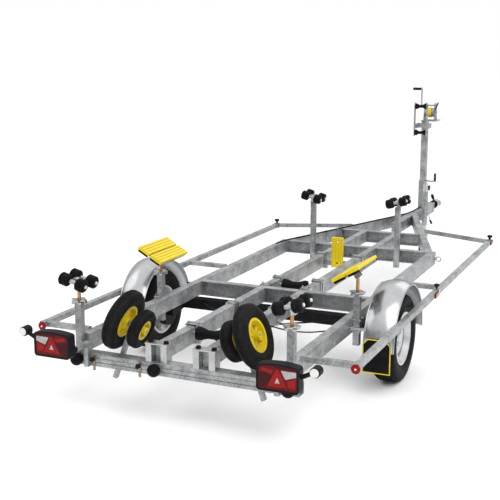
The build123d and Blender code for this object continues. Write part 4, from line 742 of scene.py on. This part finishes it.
# Nuts on the ends of the winch's shafts, and its pawl.
SHAFT_END_X = 94.0
for body in ("winch_drum", "winch_crank"):
    pin = Vector(joints[f"{body}_turn"]["pos_m"]) / MM
    add(f"{body}_nut", bolted("shaft", at(SHAFT_END_X, pin.y, pin.z)), "zinc_plated", body)
PAWL = [(93.0, 2668.0, 1552.0), (99.0, 2664.0, 1580.0), (112.0, 2658.0, 1610.0), (126.0, 2652.0, 1640.0)]
PAWL_R = 7.0
wire("winch_pawl", PAWL, PAWL_R, "black_steel", "winch_post")

# Moulded knobs with finger lobes. Shares are of the knob's radius and height.
STRAP_FRONT_Y = 930.0
STRAP_REAR_Y = -1120.0
GUARD_KNOB_Z = 521.0
BEAM_STRAP_XS = (-594.0, -270.0)
BEAM_KNOB_Y = -3141.0
BEAM_KNOB_Z = 345.0
KNOB_LOBES = 5
KNOB_LOBE_STEPS = 8
KNOB_LOBE_SHARE = 0.14
KNOB_EDGE_SHARE = 0.15
KNOB_NECK = [(-0.6, 0.0), (-0.6, 0.4), (0.1, 0.5), (0.1, 0.0)]
KNOB_NECK_STEPS = 24
KNOB_STUD = [(-26.0, 0.0), (-26.0, 6.0), (0.0, 6.0), (0.0, 0.0)]
KNOB_STUD_STEPS = 16
# Place (mm), direction, radius and height.
KNOBS = {
    "post_star_knob": ((58.0, 2605.0, 707.0), RIGHT, 30.0, 22.0),
    "guard_knob_left": ((-GUARD_X, STRAP_FRONT_Y, GUARD_KNOB_Z), UP, 24.0, 22.0),
    "guard_knob_right": ((GUARD_X, STRAP_FRONT_Y, GUARD_KNOB_Z), UP, 24.0, 22.0),
    "strap_knob_right": ((GUARD_X, STRAP_REAR_Y, GUARD_KNOB_Z), UP, 20.0, 18.0),
    "beam_knob_outer": ((BEAM_STRAP_XS[0], BEAM_KNOB_Y, BEAM_KNOB_Z), REARWARD, 17.0, 18.0),
    "beam_knob_inner": ((BEAM_STRAP_XS[1], BEAM_KNOB_Y, BEAM_KNOB_Z), REARWARD, 17.0, 18.0),
}


def knob(radius, height):
    """Lobed plate, neck and stud along X."""
    steps = KNOB_LOBES * KNOB_LOBE_STEPS
    outline = []
    for i in range(steps):
        turn = FULL_TURN * i / steps
        r = radius * (1.0 - KNOB_LOBE_SHARE * (1.0 - math.cos(KNOB_LOBES * turn)))
        outline.append((r * math.cos(turn), r * math.sin(turn)))
    plate = moved(slab(outline, height, KNOB_EDGE_SHARE * height), facing(DOWN))
    neck = lathe([(x * height, r * radius) for x, r in KNOB_NECK], KNOB_NECK_STEPS)
    return [plate, neck, lathe(KNOB_STUD, KNOB_STUD_STEPS)]


for name, (place, direction, radius, height) in KNOBS.items():
    where = at(*place) @ facing(direction)
    add(name, [moved(shape, where) for shape in knob(radius, height)], "black_plastic")

# Brass straps on the rear beam under the knobs, and the sliding bar of the lamp arms in the beam's slot.
BEAM_REAR = -3125.0
SLOT_Z = 335.0
BEAM_STRAP = [(-9.0, -64.0), (9.0, -64.0), (9.0, 44.0), (-9.0, 44.0)]
BEAM_STRAP_T = 5.0
BEAM_STRAP_EDGE = 1.0
straps = []
for x in BEAM_STRAP_XS:
    strap = slab(BEAM_STRAP, BEAM_STRAP_T, BEAM_STRAP_EDGE)
    straps.append(moved(strap, at(x, BEAM_REAR, SLOT_Z) @ rearward()))
add("beam_straps", straps, "brass")
SLIDE_BAR = rect(752.0, 13.0)
SLIDE_BAR_T = 8.0
SLIDE_BAR_EDGE = 1.5
SLIDE_BAR_SINK = 1.0
where = at(0, BEAM_REAR + SLIDE_BAR_T + SLIDE_BAR_SINK, SLOT_Z) @ rearward()
add("slide_bar", [moved(slab(SLIDE_BAR, SLIDE_BAR_T, SLIDE_BAR_EDGE), where)], "galvanised")

# Plates that hold the bunk posts to the side rails, with their bolts.
POST_PLATE = rect(42.0, 50.0)
POST_PLATE_T = 6.0
POST_PLATE_EDGE = 1.2
POST_PLATE_X = 761.0
POST_Y = -2015.0
POST_BOLT_Y = 32.0
POST_BOLT_Z = 38.0
POST_ROD = [(-51.0, 0.0), (-51.0, 5.0), (0.0, 5.0), (0.0, 0.0)]
POST_ROD_STEPS = 16
plates = []
for s in BOTH:
    where = at(s * POST_PLATE_X, POST_Y, RAIL_MID) @ outwards(s)
    plates.append(moved(slab(POST_PLATE, POST_PLATE_T, POST_PLATE_EDGE), where))
    for t in BOTH:
        for u in BOTH:
            face_x = s * (POST_PLATE_X + POST_PLATE_T)
            head = at(face_x, POST_Y + t * POST_BOLT_Y, RAIL_MID + u * POST_BOLT_Z) @ facing((s, 0, 0))
            plates += bolted("post", head)
            plates.append(moved(lathe(POST_ROD, POST_ROD_STEPS), head))
add("post_plates", plates, "zinc_plated")

# Lobed chrome rims of the hand wheels on the rear and bunk posts.
HAND_R = 54.0
HAND_HOLE = 13.0
HAND_H = 8.0
HAND_LOBES = 4
HAND_LOBE_STEPS = 12
HAND_LOBE_SHARE = 0.14
# Drop from the head's pivot to the middle of the hand wheel, by kind of post.
HAND_DROPS = {"rocker_rear": 123.0, "bunk": 113.0}


def hand_wheel():
    """Flat lobed ring about Z with a round hole."""
    steps = HAND_LOBES * HAND_LOBE_STEPS
    verts = []
    for i in range(steps):
        turn = FULL_TURN * i / steps
        outer = HAND_R * (1.0 - HAND_LOBE_SHARE + HAND_LOBE_SHARE * math.cos(HAND_LOBES * turn))
        for r, z in ((HAND_HOLE, 0.0), (outer, 0.0), (outer, HAND_H), (HAND_HOLE, HAND_H)):
            verts.append(Vector((r * math.cos(turn), r * math.sin(turn), z)) * MM)
    return verts, torus_faces(steps, 4)


hands = []
for kind, drop in HAND_DROPS.items():
    for side in SIDES:
        pivot = Matrix.Translation(joints[f"{kind}_{side}_tilt"]["pos_m"])
        hands.append(moved(hand_wheel(), pivot @ at(0, 0, -drop - HAND_H / 2.0)))
add("hand_wheel_rims", hands, "zinc_plated")

# Straps round the guard tubes and caps in their front ends.
GUARD_STRAP = rect(23.0, 23.0)
GUARD_STRAP_T = 2.6
GUARD_STRAP_W = 46.0
GUARD_STRAP_PLACES = ((-GUARD_X, STRAP_FRONT_Y), (GUARD_X, STRAP_FRONT_Y), (GUARD_X, STRAP_REAR_Y))
straps = []
for x, y in GUARD_STRAP_PLACES:
    where = at(x, y + GUARD_STRAP_W / 2.0, GUARD_Z) @ rearward()
    straps.append(moved(frame_strip(GUARD_STRAP, GUARD_STRAP_T, GUARD_STRAP_W), where))
add("guard_straps", straps, "zinc_plated")
GUARD_CAP = rect(19.0, 19.0)
GUARD_CAP_T = 5.0
GUARD_CAP_EDGE = 1.5
GUARD_CAP_PROUD = 4.8
caps = []
for s in BOTH:
    where = at(s * GUARD_X, GUARD_FRONT + GUARD_CAP_PROUD, GUARD_Z) @ rearward()
    caps.append(moved(slab(GUARD_CAP, GUARD_CAP_T, GUARD_CAP_EDGE), where))
add("guard_caps", caps, "black_plastic")

# Lashing eyes at the front corners of the side rails.
EYE_Y = 225.0
EYE_BASE_X = 716.0
EYE_RING_X = 752.0
EYE_R = 20.0
EYE_WIRE_R = 5.0
EYE_STEPS = 32
EYE_SIDES = 10
eyes = []
for s in BOTH:
    eyes += bolted("eye", at(s * EYE_BASE_X, EYE_Y, RAIL_MID) @ facing((s, 0, 0)))
    where = at(s * EYE_RING_X, EYE_Y, RAIL_MID) @ facing(FORWARD)
    eyes.append(moved(ring(EYE_R, EYE_WIRE_R, EYE_STEPS, EYE_SIDES), where))
add("lashing_eyes", eyes, "zinc_plated")

# Cable on the left arm and drawbar, with its clips.
CABLE_R = 5.5
CABLE_Z = RAIL_TOP + CABLE_R
ARM_REAR = Vector((-639.0, 259.4, CABLE_Z))
ARM_FRONT = Vector((-23.0, 2119.4, CABLE_Z))
ARM_SHARES = (0.05, 0.20, 0.35, 0.50, 0.65, 0.80, 0.95)
CABLE_START = [(-684.0, 20.0, CABLE_Z), (-676.0, 160.0, CABLE_Z)]
CABLE_END = [(-22.0, 2230.0, CABLE_Z), (-20.0, 2400.0, CABLE_Z), (-20.0, 2564.0, 492.0)]
along_arm = [tuple(ARM_REAR.lerp(ARM_FRONT, share)) for share in ARM_SHARES]
wire("arm_cable", CABLE_START + along_arm + CABLE_END, CABLE_R, "black_rubber")
CLIP = rect(10.0, 11.0)
CLIP_H = 12.5
CLIP_EDGE = 2.0
CLIP_SHARES = (0.05, 0.27, 0.50, 0.72, 0.95)
arm_way = ARM_FRONT - ARM_REAR
arm_turn = Matrix.Rotation(math.atan2(arm_way.y, arm_way.x), 4, "Z")
clips = []
for share in CLIP_SHARES:
    middle = ARM_REAR.lerp(ARM_FRONT, share)
    clips.append(moved(slab(CLIP, CLIP_H, CLIP_EDGE), at(middle.x, middle.y, RAIL_TOP) @ arm_turn))
add("cable_clips", clips, "black_plastic")

# Brake rods, given on the right side; cable that sags between the right rails.
BRAKE_ROD = [
    (602.0, -1660.0, 352.0), (500.0, -1750.0, 360.0), (300.0, -1927.0, 366.0), (168.0, -2042.0, 369.0)]
BRAKE_ROD_R = 6.0
for side, s in SIDES.items():
    wire(f"brake_rod_{side}", [(s * x, y, z) for x, y, z in BRAKE_ROD], BRAKE_ROD_R, "black_steel")
SAG = [
    (190.0, -2345.0, 466.0), (260.0, -2345.0, 448.0), (350.0, -2350.0, 436.0), (460.0, -2352.0, 434.0),
    (570.0, -2354.0, 446.0), (656.0, -2356.0, 468.0)]
SAG_R = 4.5
sagging = wire("rail_cable", SAG, SAG_R, "black_rubber")

# Coupling: grip on the hand lever; handle under the drawbar.
LEVER_GRIP = rect(15.0, 10.5)
LEVER_GRIP_L = 74.0
LEVER_GRIP_EDGE = 4.0
LEVER_Y = 3108.0
LEVER_Z = 518.0
LEVER_RUN = (0.0, -70.0, 60.0)
lever_way = Vector(LEVER_RUN).normalized()
lever_up = Vector(RIGHT).cross(lever_way)
lever_turn = Matrix((Vector(RIGHT), lever_up, lever_way)).transposed().to_4x4()
grip = slab(LEVER_GRIP, LEVER_GRIP_L, LEVER_GRIP_EDGE)
add("lever_grip", [moved(grip, at(0, LEVER_Y, LEVER_Z) @ lever_turn)], "black_plastic")
HANDLE = [(20.0, 2842.0, 376.0), (22.0, 2842.0, 350.0), (30.0, 2843.0, 320.0), (42.0, 2844.0, 296.0)]
HANDLE_R = 6.0
HANDLE_GRIP = [(0.0, 0.0), (0.0, 10.0), (6.0, 12.0), (44.0, 12.0), (50.0, 8.0), (50.0, 0.0)]
HANDLE_GRIP_STEPS = 24
HANDLE_GRIP_PLACE = (36.0, 2843.5, 306.0)
HANDLE_GRIP_WAY = (0.45, 0.02, -0.89)
wire("hand_brake_rod", HANDLE, HANDLE_R, "zinc_plated")
where = at(*HANDLE_GRIP_PLACE) @ facing(HANDLE_GRIP_WAY)
add("hand_brake_grip", [moved(lathe(HANDLE_GRIP, HANDLE_GRIP_STEPS), where)], "black_plastic")

# Stage: white floor.
scene = bpy.context.scene
scene.view_settings.view_transform = "Standard"
FLOOR = 60.0
FLOOR_LOOK = {"Base Color": (0.97, 0.97, 0.97, 1.0), "Roughness": 0.9, "Specular IOR Level": 0.0}
floor_mesh = bpy.data.meshes.new("floor")
floor_mesh.from_pydata([(x, y, 0.0) for x, y in rect(FLOOR, FLOOR)], [], [(0, 1, 2, 3)])
floor_mat = bpy.data.materials.new("floor")
floor_mat.use_nodes = True
for socket, value in FLOOR_LOOK.items():
    floor_mat.node_tree.nodes["Principled BSDF"].inputs[socket].default_value = value
floor_mesh.materials.append(floor_mat)
floor = bpy.data.objects.new("floor", floor_mesh)
scene.collection.objects.link(floor)

# Sky: white where the camera sees it, and brighter above than at the horizon for what it lights.
WHITE = (1.0, 1.0, 1.0)
HORIZON = (0.26, 0.265, 0.27, 1.0)
ZENITH = (1.25, 1.25, 1.25, 1.0)
ZENITH_FROM = 0.75
world = bpy.data.worlds.new("studio")
scene.world = world
world.use_nodes = True
sky = world.node_tree
spread = sky.nodes.new("ShaderNodeTexCoord")
parts = sky.nodes.new("ShaderNodeSeparateXYZ")
ramp = sky.nodes.new("ShaderNodeValToRGB")
low, high = ramp.color_ramp.elements
low.position = 0.0
low.color = HORIZON
high.position = ZENITH_FROM
high.color = ZENITH
sky.links.new(spread.outputs["Generated"], parts.inputs["Vector"])
sky.links.new(parts.outputs["Z"], ramp.inputs["Fac"])
rays = sky.nodes.new("ShaderNodeLightPath")
white = maths(sky, "MAXIMUM", rays.outputs["Is Camera Ray"], rays.outputs["Is Transmission Ray"])
background = sky.nodes["Background"]
background.inputs["Strength"].default_value = 1.0
sky.links.new(mixed(sky, white, ramp.outputs["Color"], WHITE), background.inputs["Color"])

# Lights (metres, watts).
LIGHTS = [
    {"name": "key", "place": (4.5, -5.0, 6.5), "size": 6.0, "power": 260.0},
    {"name": "fill", "place": (-6.0, -3.0, 5.0), "size": 5.0, "power": 70.0},
    {"name": "front", "place": (2.0, 7.0, 6.0), "size": 5.0, "power": 80.0},
]
AIM = Vector((0.0, -0.6, 0.5))
for row in LIGHTS:
    lamp = bpy.data.lights.new(row["name"], "AREA")
    lamp.energy = row["power"]
    lamp.size = row["size"]
    light = bpy.data.objects.new(row["name"], lamp)
    light.location = row["place"]
    light.rotation_euler = (AIM - light.location).to_track_quat("-Z", "Y").to_euler()
    scene.collection.objects.link(light)

# Camera, as fitted to the photograph: focal length (pixels), place (metres) and angles (radians).
FOCAL_PX = 976.5
PHOTO_PX = 500.0
SENSOR = 36.0
SHIFT = (0.006, -0.004)
CLIP_END = 200.0
CAMERA_PLACE = (2.634, -7.999, 2.223)
CAMERA_DIP = 0.202
CAMERA_TURN = 0.423
camera_data = bpy.data.cameras.new("camera")
camera_data.sensor_width = SENSOR
camera_data.lens = FOCAL_PX / PHOTO_PX * SENSOR
camera_data.shift_x, camera_data.shift_y = SHIFT
camera_data.clip_end = CLIP_END
camera = bpy.data.objects.new("camera", camera_data)
camera.location = CAMERA_PLACE
camera.rotation_euler = (math.pi / 2.0 - CAMERA_DIP, 0.0, CAMERA_TURN)
scene.collection.objects.link(camera)
scene.camera = camera
